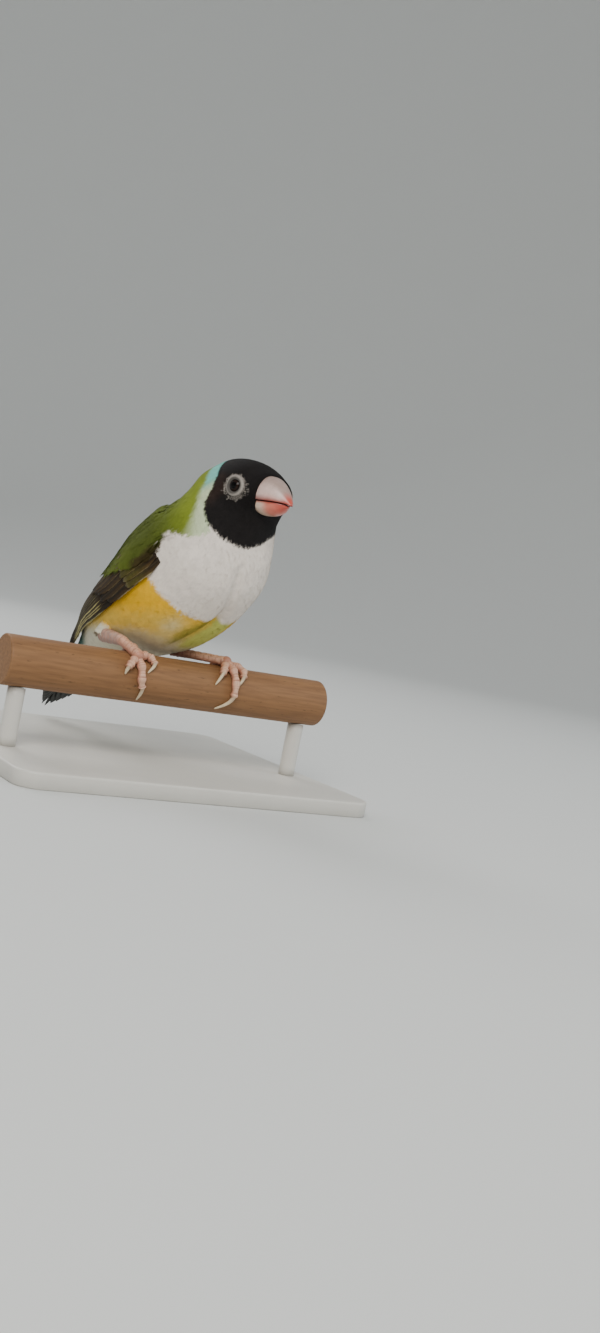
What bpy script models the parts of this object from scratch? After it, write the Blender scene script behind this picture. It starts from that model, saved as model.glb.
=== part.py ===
import math
import random

import bmesh
import bpy
import numpy as np

MM = 0.001

# The perch runs along X. Everything of the bird is measured in millimetres from
# the middle of the perch, forward along the body's heading, to its left, and up.
PERCH_HEIGHT = 25.0
PERCH_BACK = -15.2
PERCH_RADIUS = 6.35
PERCH_LENGTH = 92.0
PERCH_CHAMFER = 0.5
PERCH_GUARD = 18.0
PERCH_GUARD_SIDES = 48
GAP = 0.3

BODY_HEADING = math.radians(8.0)
BODY_SIDE = 0.5
BODY_DROP = 1.0
HEAD_TURN = math.radians(4.0)
HEAD_FORWARD = 17.2
HEAD_UP = 51.2
HEAD_SIDE = 1.0

# Each section of the body stands across it: back point (forward, up), belly
# point (forward, up), half width, where the width is greatest, share of the
# head's turn. The first is a guide behind the rump that no solid reaches.
SECTIONS = np.array((
    (-47.8, 1.6, -45.6, -2.6, 2.6, 0.45, 0.0),
    (-43.7, 7.7, -40.5, 1.8, 4.2, 0.45, 0.0),
    (-39.1, 13.0, -34.0, 2.4, 6.8, 0.45, 0.0),
    (-32.8, 19.6, -24.0, 3.8, 11.2, 0.45, 0.0),
    (-25.2, 25.8, -13.0, 6.0, 14.8, 0.45, 0.0),
    (-17.1, 33.8, -2.0, 9.3, 16.6, 0.45, 0.0),
    (-10.3, 40.9, 6.6, 14.0, 17.6, 0.45, 0.0),
    (-5.3, 45.7, 14.3, 19.7, 16.5, 0.45, 0.05),
    (-1.2, 49.8, 20.5, 26.2, 15.2, 0.46, 0.2),
    (1.5, 53.6, 23.3, 33.3, 12.8, 0.47, 0.4),
    (3.8, 56.9, 23.6, 39.0, 11.5, 0.48, 0.6),
    (7.2, 59.0, 23.8, 42.5, 10.2, 0.5, 0.8),
    (11.2, 60.5, 24.0, 44.3, 9.8, 0.5, 0.95),
    (15.5, 60.9, 24.0, 45.7, 9.6, 0.5, 1.0),
    (20.1, 60.1, 24.0, 46.6, 9.2, 0.5, 1.0),
    (24.7, 57.8, 24.2, 47.4, 7.9, 0.5, 1.0),
))
BODY_SIDES = 32
RUMP = (0.0, 2.3)
TORSO = (2.3, 7.5)
NECK = (7.5, 10.2)
HEAD = (10.2, 14.0)
RING_STEP = 0.3

# Head details, from the head's centre: ahead, to the side, up.
EYE_AHEAD = 4.3
EYE_UP = 1.7
EYE_RADIUS = 2.0
EYE_DEPTH = 1.15
EYE_TURN = math.radians(12.0)
LID_SIDE = 9.0
LID_RADIUS = 1.9
LID_TUBE = 0.5
LID_STEPS = 18
LID_TUBE_SIDES = 8
BILL_SIDES = 16
BILL_BASE = 7.3
BILL_BASE_LEAN = 0.04
BILL_LEAN_REACH = 9.0
BILL_FULLNESS = (0.9, 0.75)
BILL_BOW = 0.12
# Ahead, half width, ridge height, edge height.
UPPER_BILL = (
    (0.0, 4.8, 6.0, -0.45),
    (1.5, 4.5, 5.75, -0.4),
    (3.1, 3.85, 5.0, -0.35),
    (4.8, 3.0, 3.8, -0.3),
    (6.3, 2.1, 2.4, -0.3),
    (7.6, 1.2, 0.9, -0.4),
    (8.5, 0.4, -0.25, -0.75),
)
LOWER_BILL = (
    (0.0, 4.4, -0.8, -3.8),
    (1.5, 4.0, -0.75, -3.75),
    (3.1, 3.4, -0.7, -3.5),
    (4.6, 2.7, -0.65, -3.05),
    (5.8, 1.9, -0.65, -2.4),
    (6.8, 1.05, -0.75, -1.65),
    (7.4, 0.4, -0.95, -1.4),
)
NOSTRIL = (0.85, 2.8, 3.5)
NOSTRIL_RADIUS = 0.5

# A wing lies on the body: places are (section, degrees round from the back).
WING_PLATE_IN = 0.4
WING_PLATE_OUT = 1.1
WING_LOW_EDGE = ((5.6, 104.0), (4.35, 105.0), (2.65, 98.0), (0.9, 84.0))
WING_HIGH_EDGE = ((6.6, 34.0), (4.4, 20.0), (2.7, 16.0), (1.5, 42.0))
PLATE_ALONG = 12
PLATE_ACROSS = 6
VANE_STEPS = 4
VANE_THICK = 0.5
# Root of the first and last vane, tip of the first and last vane, count, half
# width, height of root and tip over the body.
PRIMARIES = ((3.3, 96.0), (3.0, 60.0), (-0.9, 77.0), (0.3, 44.0), 8, 2.1, 0.7, 2.5)
SECONDARIES = ((4.6, 100.0), (4.2, 48.0), (2.35, 91.0), (1.75, 36.0), 7, 2.8, 1.05, 1.35)
TERTIALS = ((4.9, 50.0), (5.0, 30.0), (1.75, 34.0), (2.7, 19.0), 3, 3.3, 1.1, 1.4)
GREATER_COVERTS = ((5.3, 102.0), (5.6, 42.0), (4.25, 99.0), (4.1, 38.0), 8, 2.5, 1.0, 1.45)
MEDIAN_COVERTS = ((6.0, 98.0), (6.6, 46.0), (5.1, 101.0), (5.3, 42.0), 6, 2.8, 0.9, 1.45)
WING_TIERS = (PRIMARIES, SECONDARIES, TERTIALS, GREATER_COVERTS, MEDIAN_COVERTS)
VANE_JITTER = 0.05
# Rise of a vane along its middle and towards its outer edge, then of every
# second vane and of each vane over the one before.
VANE_CROWN = 0.1
VANE_TILT = 0.04
VANE_STACK = (0.08, 0.02)

# The tail hangs from the rump's end: length, tip's offset to the side, half
# width and drop below the middle pair, for each pair from the middle out.
TAIL_ROOT = (-43.0, 4.0)
TAIL_SLOPE = math.radians(-133.5)
TAIL_PAIRS = (
    (28.6, 0.9, 1.5, 0.0),
    (24.2, 2.3, 1.9, 0.55),
    (22.4, 3.5, 1.9, 0.95),
    (20.8, 4.6, 1.8, 1.35),
    (19.0, 5.6, 1.7, 1.75),
)
# The root block of the tail: length, then thickness and half width at each end.
TAIL_BLOCK = 5.0
TAIL_BLOCK_THICK = (2.3, 1.1)
TAIL_BLOCK_WIDE = (3.6, 4.2)
TAIL_BLOCK_DROP = 0.9
TAIL_VANE_START = 1.2
TAIL_SPREAD = 0.6

# A leg: ankle (X, Y, Z from the middle of the perch), ball of the foot (X, angle
# up the front of the perch), then each toe as (X, angle) places round the perch.
RIGHT_ANKLE = (-15.5, 9.8, 10.4)
LEFT_ANKLE = (2.2, 8.4, 7.6)
RIGHT_BALL = (-12.9, 50.0)
LEFT_BALL = (14.4, 78.0)
RIGHT_TOES = (
    ((-12.9, 50.0), (-14.7, 34.0), (-15.8, 22.0), (-16.2, 10.0)),
    ((-12.9, 50.0), (-12.1, 26.0), (-11.7, -2.0), (-10.9, -20.0), (-10.7, -52.0)),
    ((-12.9, 50.0), (-9.8, 56.0), (-8.3, 38.0), (-9.9, 19.0)),
    ((-12.9, 56.0), (-12.5, 98.0), (-12.3, 140.0), (-12.5, 180.0)),
)
LEFT_TOES = (
    ((14.4, 78.0), (12.9, 55.0), (11.8, 38.0), (9.9, 15.0)),
    ((14.4, 78.0), (15.4, 48.0), (15.6, 14.0), (15.0, -16.0), (11.9, -46.0)),
    ((14.4, 78.0), (18.3, 59.0), (18.2, 38.0), (16.7, 17.0)),
    ((14.4, 78.0), (14.3, 113.0), (14.1, 150.0), (14.2, 188.0)),
)
CLAW_SHARES = (0.62, 0.66, 0.66, 0.68)
TOE_RADIUS = 1.02
TOE_TAPER = 0.2
TOE_JOINT = 0.07
TOE_JOINTS = 26.0
CLAW_RADIUS = 0.52
CLAW_TIP = 0.2
TOE_LIFT = 0.04
TOE_RINGS = 13
TOE_SIDES = 8
BALL_RADIUS = 1.55
SHANK_START = BALL_RADIUS + GAP + 0.1
# Radius of each shank at the foot, in the middle and at the ankle.
RIGHT_SHANK = (1.35, 1.25, 1.65)
LEFT_SHANK = (1.2, 1.05, 1.2)
SHANK_RINGS = 7
SHANK_SIDES = 10
THIGH_KNEE = (-10.5, 6.5, 17.5)
THIGH_RADIUS = 2.9
THIGH_FOOT = 1.9
THIGH_RINGS = 6
THIGH_SIDES = 16
GUARD_SECTIONS = (0.0, 7.0)
GUARD_RINGS = 25

BASE_LENGTH = 98.0
BASE_WIDTH = 96.0
BASE_THICK = 4.0
BASE_CORNER = 6.0
ROD_RADIUS = 2.2
ROD_SIDE = 41.0

COLOURS = {
    "black": (0.02, 0.02, 0.022, 1.0),
    "green": (0.25, 0.35, 0.05, 1.0),
    "yellow": (0.75, 0.52, 0.06, 1.0),
    "white": (0.8, 0.76, 0.7, 1.0),
    "brown": (0.09, 0.065, 0.045, 1.0),
    "horn": (0.78, 0.62, 0.58, 1.0),
    "red": (0.75, 0.28, 0.2, 1.0),
    "flesh": (0.72, 0.42, 0.34, 1.0),
    "eye": (0.01, 0.01, 0.01, 1.0),
    "perch": (0.35, 0.18, 0.08, 1.0),
    "stand": (0.82, 0.8, 0.76, 1.0),
}


def clear_scene():
    for obj in list(bpy.data.objects):
        bpy.data.objects.remove(obj, do_unlink=True)


def finish_node(obj, colour):
    material = bpy.data.materials.new(obj.name)
    material.use_nodes = True
    shader = material.node_tree.nodes["Principled BSDF"]
    shader.inputs["Base Color"].default_value = COLOURS[colour]
    shader.inputs["Roughness"].default_value = 0.5
    obj.data.materials.clear()
    obj.data.materials.append(material)
    for polygon in obj.data.polygons:
        polygon.use_smooth = True


def add_mesh(name, points, faces):
    mesh = bpy.data.meshes.new(name)
    lifted = np.asarray(points, float) + (0.0, PERCH_BACK, PERCH_HEIGHT)
    mesh.from_pydata([tuple(p) for p in lifted * MM], [], faces)
    work = bmesh.new()
    work.from_mesh(mesh)
    bmesh.ops.recalc_face_normals(work, faces=work.faces)
    if work.calc_volume(signed=True) < 0:
        bmesh.ops.reverse_faces(work, faces=work.faces)
    work.to_mesh(mesh)
    work.free()
    obj = bpy.data.objects.new(name, mesh)
    bpy.context.scene.collection.objects.link(obj)
    return obj


def combine(target, cutters, operation):
    group = bpy.data.collections.new(target.name + "_tools")
    bpy.context.scene.collection.children.link(group)
    for cutter in cutters:
        bpy.context.scene.collection.objects.unlink(cutter)
        group.objects.link(cutter)
    modifier = target.modifiers.new(operation.lower(), "BOOLEAN")
    modifier.operation = operation
    modifier.operand_type = "COLLECTION"
    modifier.collection = group
    modifier.solver = "MANIFOLD"
    bpy.context.view_layer.objects.active = target
    bpy.ops.object.modifier_apply(modifier=modifier.name)
    for cutter in cutters:
        bpy.data.objects.remove(cutter, do_unlink=True)
    bpy.data.collections.remove(group)
    keep_largest(target)


def keep_largest(obj):
    work = bmesh.new()
    work.from_mesh(obj.data)
    work.verts.ensure_lookup_table()
    seen = set()
    groups = []
    for vert in work.verts:
        if vert.index in seen:
            continue
        seen.add(vert.index)
        group = [vert]
        for current in group:
            for edge in current.link_edges:
                other = edge.other_vert(current)
                if other.index not in seen:
                    seen.add(other.index)
                    group.append(other)
        groups.append(group)
    groups.sort(key=len, reverse=True)
    for group in groups[1:]:
        bmesh.ops.delete(work, geom=group, context="VERTS")
    work.to_mesh(obj.data)
    work.free()


def tube_faces(rings, sides):
    faces = [tuple(range(sides))[::-1], tuple((rings - 1) * sides + i for i in range(sides))]
    for ring in range(rings - 1):
        for i in range(sides):
            j = (i + 1) % sides
            low = ring * sides
            high = low + sides
            faces.append((low + i, low + j, high + j, high + i))
    return faces


def blend(values, place):
    """Smooth value between rows of a table."""
    last = len(values) - 1
    row = int(min(max(math.floor(place), 0), last - 1))
    t = place - row
    slopes = []
    for k in (row, row + 1):
        low, high = max(k - 1, 0), min(k + 1, last)
        slopes.append((values[high] - values[low]) / (high - low))
    near = (2 * t**3 - 3 * t**2 + 1) * values[row] + (t**3 - 2 * t**2 + t) * slopes[0]
    far = (3 * t**2 - 2 * t**3) * values[row + 1] + (t**3 - t**2) * slopes[1]
    return near + far


def body_to_world(forward, side, up):
    ahead = np.array((math.sin(BODY_HEADING), -math.cos(BODY_HEADING), 0.0))
    left = np.array((math.cos(BODY_HEADING), math.sin(BODY_HEADING), 0.0))
    return forward * ahead + side * left + np.array((0.0, 0.0, up - BODY_DROP))


def turned(forward, side, up, share):
    """A place in the body's plane after its share of the head's turn."""
    angle = HEAD_TURN * share
    ahead = forward - HEAD_FORWARD
    shift = BODY_SIDE * (1 - share) + HEAD_SIDE * share
    return body_to_world(
        HEAD_FORWARD + ahead * math.cos(angle) - side * math.sin(angle),
        ahead * math.sin(angle) + side * math.cos(angle) + shift,
        up,
    )


def head_to_world(ahead, side, up):
    return turned(HEAD_FORWARD + ahead, side, HEAD_UP + up, 1.0)


def body_point(section, degrees, over=0.0, slide=0.0):
    """A point on the body's surface: degrees run from the back down its left."""
    row = blend(SECTIONS, section + 1)
    back, belly = row[0:2], row[2:4]
    chord = back - belly
    length = np.linalg.norm(chord)
    rise = chord / length
    onward = np.array((rise[1], -rise[0]))
    middle = back - chord * row[5] + onward * slide
    angle = math.radians(degrees)
    share = row[5] if math.cos(angle) > 0 else 1 - row[5]
    place = middle + rise * (share * length + over) * math.cos(angle)
    return turned(place[0], (row[4] + over) * math.sin(angle), place[1], row[6])


def body_piece(name, span, close_start, close_end, colour):
    count = max(3, round((span[1] - span[0]) / RING_STEP) + 1)
    points = []
    for ring, section in enumerate(np.linspace(span[0], span[1], count)):
        slide = 0.0
        if ring == 0 and close_start:
            slide = GAP / 2
        if ring == count - 1 and close_end:
            slide = -GAP / 2
        for i in range(BODY_SIDES):
            points.append(body_point(section, 360.0 * i / BODY_SIDES, 0.0, slide))
    obj = add_mesh(name, points, tube_faces(count, BODY_SIDES))
    finish_node(obj, colour)
    return obj


def ball(name, centre, radius, rows=10, sides=16):
    points = [centre + np.array((0.0, 0.0, -radius))]
    for row in range(1, rows):
        angle = math.pi * row / rows
        for i in range(sides):
            turn = 2 * math.pi * i / sides
            flat = radius * math.sin(angle)
            points.append(centre + np.array((flat * math.cos(turn), flat * math.sin(turn), -radius * math.cos(angle))))
    points.append(centre + np.array((0.0, 0.0, radius)))
    top = len(points) - 1
    faces = []
    for i in range(sides):
        j = (i + 1) % sides
        faces.append((0, 1 + j, 1 + i))
        faces.append((top, top - sides + i, top - sides + j))
        for row in range(rows - 2):
            low = 1 + row * sides
            faces.append((low + i, low + j, low + sides + j, low + sides + i))
    return add_mesh(name, points, faces)


def eye_axes(side):
    """Along the lids' plane and straight out of it: the eyes look a little ahead."""
    ahead = head_to_world(1.0, 0.0, 0.0) - head_to_world(0.0, 0.0, 0.0)
    out = (head_to_world(0.0, 1.0, 0.0) - head_to_world(0.0, 0.0, 0.0)) * side
    cosine, sine = math.cos(EYE_TURN), math.sin(EYE_TURN)
    return ahead * cosine - out * sine, out * cosine + ahead * sine


def lid_ring(name, side):
    ahead, out = eye_axes(side)
    up = np.array((0.0, 0.0, 1.0))
    centre = head_to_world(EYE_AHEAD, LID_SIDE * side, EYE_UP)
    rings, sides = LID_STEPS, LID_TUBE_SIDES
    points = []
    for i in range(rings):
        turn = 2 * math.pi * i / rings
        spoke = ahead * math.cos(turn) + up * math.sin(turn)
        for j in range(sides):
            angle = 2 * math.pi * j / sides
            points.append(centre + spoke * (LID_RADIUS + LID_TUBE * math.cos(angle)) + out * LID_TUBE * math.sin(angle))
    faces = []
    for i in range(rings):
        for j in range(sides):
            a, b = i * sides, (i + 1) % rings * sides
            k = (j + 1) % sides
            faces.append((a + j, a + k, b + k, b + j))
    return add_mesh(name, points, faces)


def build_head():
    head = body_piece("head", HEAD, True, False, "black")
    lids = [lid_ring("lid_tool_" + word, side) for word, side in (("left", 1), ("right", -1))]
    combine(head, lids, "UNION")
    sockets = []
    for word, side in (("left", 1), ("right", -1)):
        centre = head_to_world(EYE_AHEAD, LID_SIDE * side, EYE_UP) - eye_axes(side)[1] * EYE_DEPTH
        sockets.append(ball("socket_tool_" + word, centre, EYE_RADIUS + GAP))
        eye = ball("eye_" + word, centre, EYE_RADIUS)
        finish_node(eye, "eye")
    combine(head, sockets, "DIFFERENCE")
    finish_node(head, "black")


def bill_piece(name, rows, upward, colour):
    points = []
    round_side, round_ridge = BILL_FULLNESS
    for ahead, half, top, bottom in rows:
        for i in range(BILL_SIDES):
            angle = 2 * math.pi * i / BILL_SIDES
            across = half * math.copysign(abs(math.sin(angle)) ** round_side, math.sin(angle))
            if upward:
                up = bottom + (top - bottom) * max(0.0, math.cos(angle)) ** round_ridge
            else:
                up = top - (top - bottom) * max(0.0, -math.cos(angle)) ** round_ridge
            # The flat side bows a little so that no two corners share a place.
            if upward == (math.cos(angle) < 0):
                up += BILL_BOW * math.cos(angle)
            base = BILL_BASE + BILL_BASE_LEAN * up * (1 - ahead / BILL_LEAN_REACH)
            points.append(head_to_world(base + ahead, across, up))
    obj = add_mesh(name, points, tube_faces(len(rows), BILL_SIDES))
    finish_node(obj, colour)
    return obj


def build_bill():
    upper = bill_piece("bill_upper", UPPER_BILL, True, "horn")
    pits = []
    for side in (1, -1):
        centre = head_to_world(BILL_BASE + NOSTRIL[0], NOSTRIL[1] * side, NOSTRIL[2])
        pits.append(ball("nostril_tool", centre, NOSTRIL_RADIUS, 6, 8))
    combine(upper, pits, "DIFFERENCE")
    finish_node(upper, "horn")
    bill_piece("bill_lower", LOWER_BILL, False, "red")


def slab_faces(steps, across):
    """Faces of a closed slab whose top and bottom split alike into triangles."""
    faces = []
    layer = steps * across
    for i in range(steps - 1):
        for j in range(across - 1):
            a, b = i * across + j, i * across + j + 1
            c, d = a + across, b + across
            faces += [(a, b, d), (a, d, c)]
            faces += [(layer + a, layer + d, layer + b), (layer + a, layer + c, layer + d)]
    edge = [(0, j) for j in range(across)]
    edge += [(i, across - 1) for i in range(1, steps)]
    edge += [(steps - 1, j) for j in range(across - 2, -1, -1)]
    edge += [(i, 0) for i in range(steps - 2, 0, -1)]
    ids = [i * across + j for i, j in edge]
    for a, b in zip(ids, ids[1:] + ids[:1]):
        faces += [(a, layer + b, b), (a, layer + a, layer + b)]
    return faces


def vane_width(t, half):
    """Half width along a feather: narrow root, full middle, rounded point."""
    root = 0.55 + 0.45 * min(1.0, t / 0.3)
    tip = 1.0 if t < 0.6 else math.sqrt(max(0.0, 1 - ((t - 0.6) / 0.43) ** 2))
    return half * root * tip


def wing_vane(name, root, tip, half, low, high, side):
    """A feather lying on the body, from root to tip, both (section, degrees)."""
    steps = VANE_STEPS + 1
    top, bottom = [], []
    for i in range(steps):
        t = i / VANE_STEPS
        section = root[0] + (tip[0] - root[0]) * t
        degrees = root[1] + (tip[1] - root[1]) * t
        over = low + (high - low) * t
        spot = body_point(section, degrees * side, over)
        across = body_point(section, (degrees + 2.0) * side, over) - spot
        reach = vane_width(t, half) / np.linalg.norm(across) * 2.0
        for share in (-1, 0, 1):
            turn = degrees + share * reach
            crown = VANE_CROWN * (1 - abs(share)) + VANE_TILT * share
            top.append(body_point(section, turn * side, over + crown + VANE_THICK / 2))
            bottom.append(body_point(section, turn * side, over + crown - VANE_THICK / 2))
    return add_mesh(name, top + bottom, slab_faces(steps, 3))


def wing_plate(name, side):
    steps, across = PLATE_ALONG + 1, PLATE_ACROSS + 1
    top, bottom = [], []
    low_edge, high_edge = np.array(WING_LOW_EDGE), np.array(WING_HIGH_EDGE)
    for i in range(steps):
        place = i / PLATE_ALONG * (len(WING_LOW_EDGE) - 1)
        low, high = blend(low_edge, place), blend(high_edge, place)
        for j in range(across):
            section, degrees = low + (high - low) * j / PLATE_ACROSS
            top.append(body_point(section, degrees * side, WING_PLATE_OUT))
            bottom.append(body_point(section, degrees * side, WING_PLATE_IN))
    return add_mesh(name, top + bottom, slab_faces(steps, across))


def build_wing(name, side):
    wing = wing_plate(name, side)
    rng = random.Random(11 + side)
    vanes = []
    for tier in WING_TIERS:
        first_root, last_root, first_tip, last_tip, count, half, low, high = tier
        for k in range(count):
            share = k / (count - 1)
            root = [a + (b - a) * share for a, b in zip(first_root, last_root)]
            tip = [a + (b - a) * share for a, b in zip(first_tip, last_tip)]
            tip[0] += rng.uniform(-VANE_JITTER, VANE_JITTER)
            stack = VANE_STACK[0] * (k % 2) + VANE_STACK[1] * k
            vanes.append(wing_vane("vane", root, tip, half, low + stack * 0.5, high + stack, side))
    combine(wing, vanes, "UNION")
    finish_node(wing, "brown")


def tail_vane(name, length, offset, half, drop, side):
    back = np.array((math.cos(TAIL_SLOPE), math.sin(TAIL_SLOPE)))
    over = np.array((back[1], -back[0]))
    start = np.array(TAIL_ROOT) + back * TAIL_VANE_START
    steps = VANE_STEPS + 1
    top, bottom = [], []
    for i in range(steps):
        t = i / VANE_STEPS
        centre = start + back * (length - TAIL_VANE_START) * t - over * drop * (0.5 + 0.5 * t)
        middle = side * (TAIL_SPREAD + (offset - TAIL_SPREAD) * t)
        width = vane_width(t, half)
        if drop == 0.0:
            width *= 1 - 0.5 * t**3
        for share in (-1, 0, 1):
            lift = 0.08 * (1 - abs(share)) - 0.05 * share * side
            for layer, half_thick in ((top, VANE_THICK / 2), (bottom, -VANE_THICK / 2)):
                spot = centre + over * (lift + half_thick)
                layer.append(body_to_world(spot[0], BODY_SIDE + middle + share * width, spot[1]))
    return add_mesh(name, top + bottom, slab_faces(steps, 3))


def build_tail():
    back = np.array((math.cos(TAIL_SLOPE), math.sin(TAIL_SLOPE)))
    over = np.array((back[1], -back[0]))
    points = []
    rings, sides = 4, 12
    for i in range(rings):
        t = i / (rings - 1)
        centre = np.array(TAIL_ROOT) + back * TAIL_BLOCK * t - over * TAIL_BLOCK_DROP * t
        thick = TAIL_BLOCK_THICK[0] * (1 - t) + TAIL_BLOCK_THICK[1] * t
        wide = TAIL_BLOCK_WIDE[0] * (1 - t) + TAIL_BLOCK_WIDE[1] * t
        for j in range(sides):
            angle = 2 * math.pi * j / sides
            spot = centre + over * thick * math.cos(angle)
            points.append(body_to_world(spot[0], BODY_SIDE + wide * math.sin(angle), spot[1]))
    tail = add_mesh("tail", points, tube_faces(rings, sides))
    vanes = []
    for length, offset, half, drop in TAIL_PAIRS:
        for side in (1, -1):
            vanes.append(tail_vane("tail_vane", length + 0.4 * side, offset, half, drop, side))
    combine(tail, vanes, "UNION")
    guard = [rump_guard()]
    combine(tail, guard, "DIFFERENCE")
    finish_node(tail, "black")


def rump_guard():
    """The rump's end grown by the gap, which trims the tail's root."""
    points = []
    places = (0.0, 0.4, 0.8, 1.2)
    for ring, section in enumerate(places):
        slide = -GAP if ring == 0 else 0.0
        for i in range(BODY_SIDES):
            points.append(body_point(section, 360.0 * i / BODY_SIDES, GAP, slide))
    return add_mesh("rump_tool", points, tube_faces(len(places), BODY_SIDES))


def on_perch(x, degrees, over):
    angle = math.radians(degrees)
    reach = PERCH_RADIUS + GAP + over
    return np.array((x, -reach * math.cos(angle), reach * math.sin(angle)))


def tube(name, centres, radii, sides):
    centres = np.asarray(centres)
    points = []
    lift = None
    for i, centre in enumerate(centres):
        along = centres[min(i + 1, len(centres) - 1)] - centres[max(i - 1, 0)]
        along /= np.linalg.norm(along)
        if lift is None:
            lift = np.cross(along, (0.31, 0.17, 0.93))
        lift = lift - along * (lift @ along)
        lift /= np.linalg.norm(lift)
        other = np.cross(along, lift)
        for j in range(sides):
            angle = 2 * math.pi * j / sides
            points.append(centre + (lift * math.cos(angle) + other * math.sin(angle)) * radii[i])
    return add_mesh(name, points, tube_faces(len(centres), sides))


def toe(name, places, claw_share):
    centres, radii = [], []
    keys = np.array(places)
    for i in range(TOE_RINGS):
        t = i / (TOE_RINGS - 1)
        x, degrees = blend(keys, t * (len(keys) - 1))
        if t <= claw_share:
            radius = TOE_RADIUS * (1 - TOE_TAPER * t + TOE_JOINT * math.cos(t * TOE_JOINTS))
        else:
            radius = CLAW_RADIUS + (CLAW_TIP - CLAW_RADIUS) * (t - claw_share) / (1 - claw_share)
        radii.append(radius)
        centres.append(on_perch(x, degrees, radius + TOE_LIFT))
    return tube(name, centres, radii, TOE_SIDES)


def body_guard():
    """The rump and torso grown by the gap, which trims the legs' upper ends."""
    points = []
    for section in np.linspace(*GUARD_SECTIONS, GUARD_RINGS):
        for i in range(BODY_SIDES):
            points.append(body_point(section, 360.0 * i / BODY_SIDES, GAP))
    return add_mesh("body_tool", points, tube_faces(GUARD_RINGS, BODY_SIDES))


def perch_guard(x):
    """A length of the perch grown by the gap, centred at x."""
    ends = [(x - PERCH_GUARD, 0.0, 0.0), (x + PERCH_GUARD, 0.0, 0.0)]
    return tube("perch_tool", ends, [PERCH_RADIUS + GAP] * 2, PERCH_GUARD_SIDES)


def build_leg(word, ankle, ball_place, toes, shank_radii):
    ankle = np.array(ankle)
    centre = on_perch(ball_place[0], ball_place[1], BALL_RADIUS + TOE_LIFT)
    foot = ball("foot_" + word, centre, BALL_RADIUS, 8, 12)
    parts = [toe("toe", places, share) for places, share in zip(toes, CLAW_SHARES)]
    combine(foot, parts, "UNION")
    finish_node(foot, "flesh")
    line = ankle - centre
    length = np.linalg.norm(line)
    low, waist, high = shank_radii
    centres, radii = [], []
    for i in range(SHANK_RINGS):
        t = i / (SHANK_RINGS - 1)
        centres.append(centre + line / length * (SHANK_START + (length - SHANK_START) * t))
        radii.append(low * (1 - t) + high * t - (high - waist) * math.sin(math.pi * t))
    shank = tube("shank_" + word, centres, radii, SHANK_SIDES)
    combine(shank, [toe("toe_tool", toes[3], 1.0), body_guard(), perch_guard(centre[0])], "DIFFERENCE")
    finish_node(shank, "flesh")


def build_thigh():
    """The feathered part of the right leg, from the flank to the ankle."""
    ankle, knee = np.array(RIGHT_ANKLE), np.array(THIGH_KNEE)
    line = knee - ankle
    centres, radii = [], []
    for i in range(THIGH_RINGS):
        t = i / (THIGH_RINGS - 1)
        centres.append(ankle + line * t)
        radii.append(THIGH_FOOT + (THIGH_RADIUS - THIGH_FOOT) * math.sin(t * math.pi / 2))
    thigh = tube("thigh_right", centres, radii, THIGH_SIDES)
    foot = on_perch(RIGHT_BALL[0], RIGHT_BALL[1], BALL_RADIUS)
    shin = (ankle - foot) / np.linalg.norm(ankle - foot)
    sleeve = tube("shank_tool", [foot, ankle + shin * GAP], [RIGHT_SHANK[2] + GAP] * 2, THIGH_SIDES)
    combine(thigh, [body_guard(), sleeve], "DIFFERENCE")
    finish_node(thigh, "white")


def build_perch():
    half = PERCH_LENGTH / 2
    points = []
    ends = ((-half, -PERCH_CHAMFER), (-half + PERCH_CHAMFER, 0.0), (half - PERCH_CHAMFER, 0.0), (half, -PERCH_CHAMFER))
    sides = 36
    for x, inset in ends:
        for i in range(sides):
            angle = 2 * math.pi * i / sides
            reach = PERCH_RADIUS + inset
            points.append((x, reach * math.cos(angle), reach * math.sin(angle)))
    perch = add_mesh("perch", points, tube_faces(len(ends), sides))
    finish_node(perch, "perch")


def build_stand():
    outline = []
    for corner in range(4):
        sign_x = 1 if corner in (0, 3) else -1
        sign_y = 1 if corner < 2 else -1
        for k in range(5):
            angle = math.radians(90 * corner + 22.5 * k)
            x = sign_x * (BASE_LENGTH / 2 - BASE_CORNER) + BASE_CORNER * math.cos(angle)
            y = sign_y * (BASE_WIDTH / 2 - BASE_CORNER) + BASE_CORNER * math.sin(angle)
            outline.append((x, y - PERCH_BACK))
    points = []
    for z in (-PERCH_HEIGHT, -PERCH_HEIGHT + BASE_THICK):
        points += [(x, y, z) for x, y in outline]
    base = add_mesh("stand_base", points, tube_faces(2, len(outline)))
    finish_node(base, "stand")
    for word, x in (("left", ROD_SIDE), ("right", -ROD_SIDE)):
        sides = 20
        points = []
        for z in (-PERCH_HEIGHT + BASE_THICK + GAP, -PERCH_RADIUS / 2):
            for i in range(sides):
                angle = 2 * math.pi * i / sides
                points.append((x + ROD_RADIUS * math.cos(angle), ROD_RADIUS * math.sin(angle), z))
        rod = add_mesh("stand_rod_" + word, points, tube_faces(2, sides))
        combine(rod, [perch_guard(x)], "DIFFERENCE")
        finish_node(rod, "stand")


clear_scene()
body_piece("rump", RUMP, False, True, "green")
body_piece("torso", TORSO, True, True, "yellow")
body_piece("neck", NECK, True, True, "white")
build_head()
build_bill()
build_wing("wing_left", 1)
build_wing("wing_right", -1)
build_tail()
build_leg("left", LEFT_ANKLE, LEFT_BALL, LEFT_TOES, LEFT_SHANK)
build_leg("right", RIGHT_ANKLE, RIGHT_BALL, RIGHT_TOES, RIGHT_SHANK)
build_thigh()
build_perch()
build_stand()
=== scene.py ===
import math

import bpy
import numpy as np
from mathutils import Matrix, Vector


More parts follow.
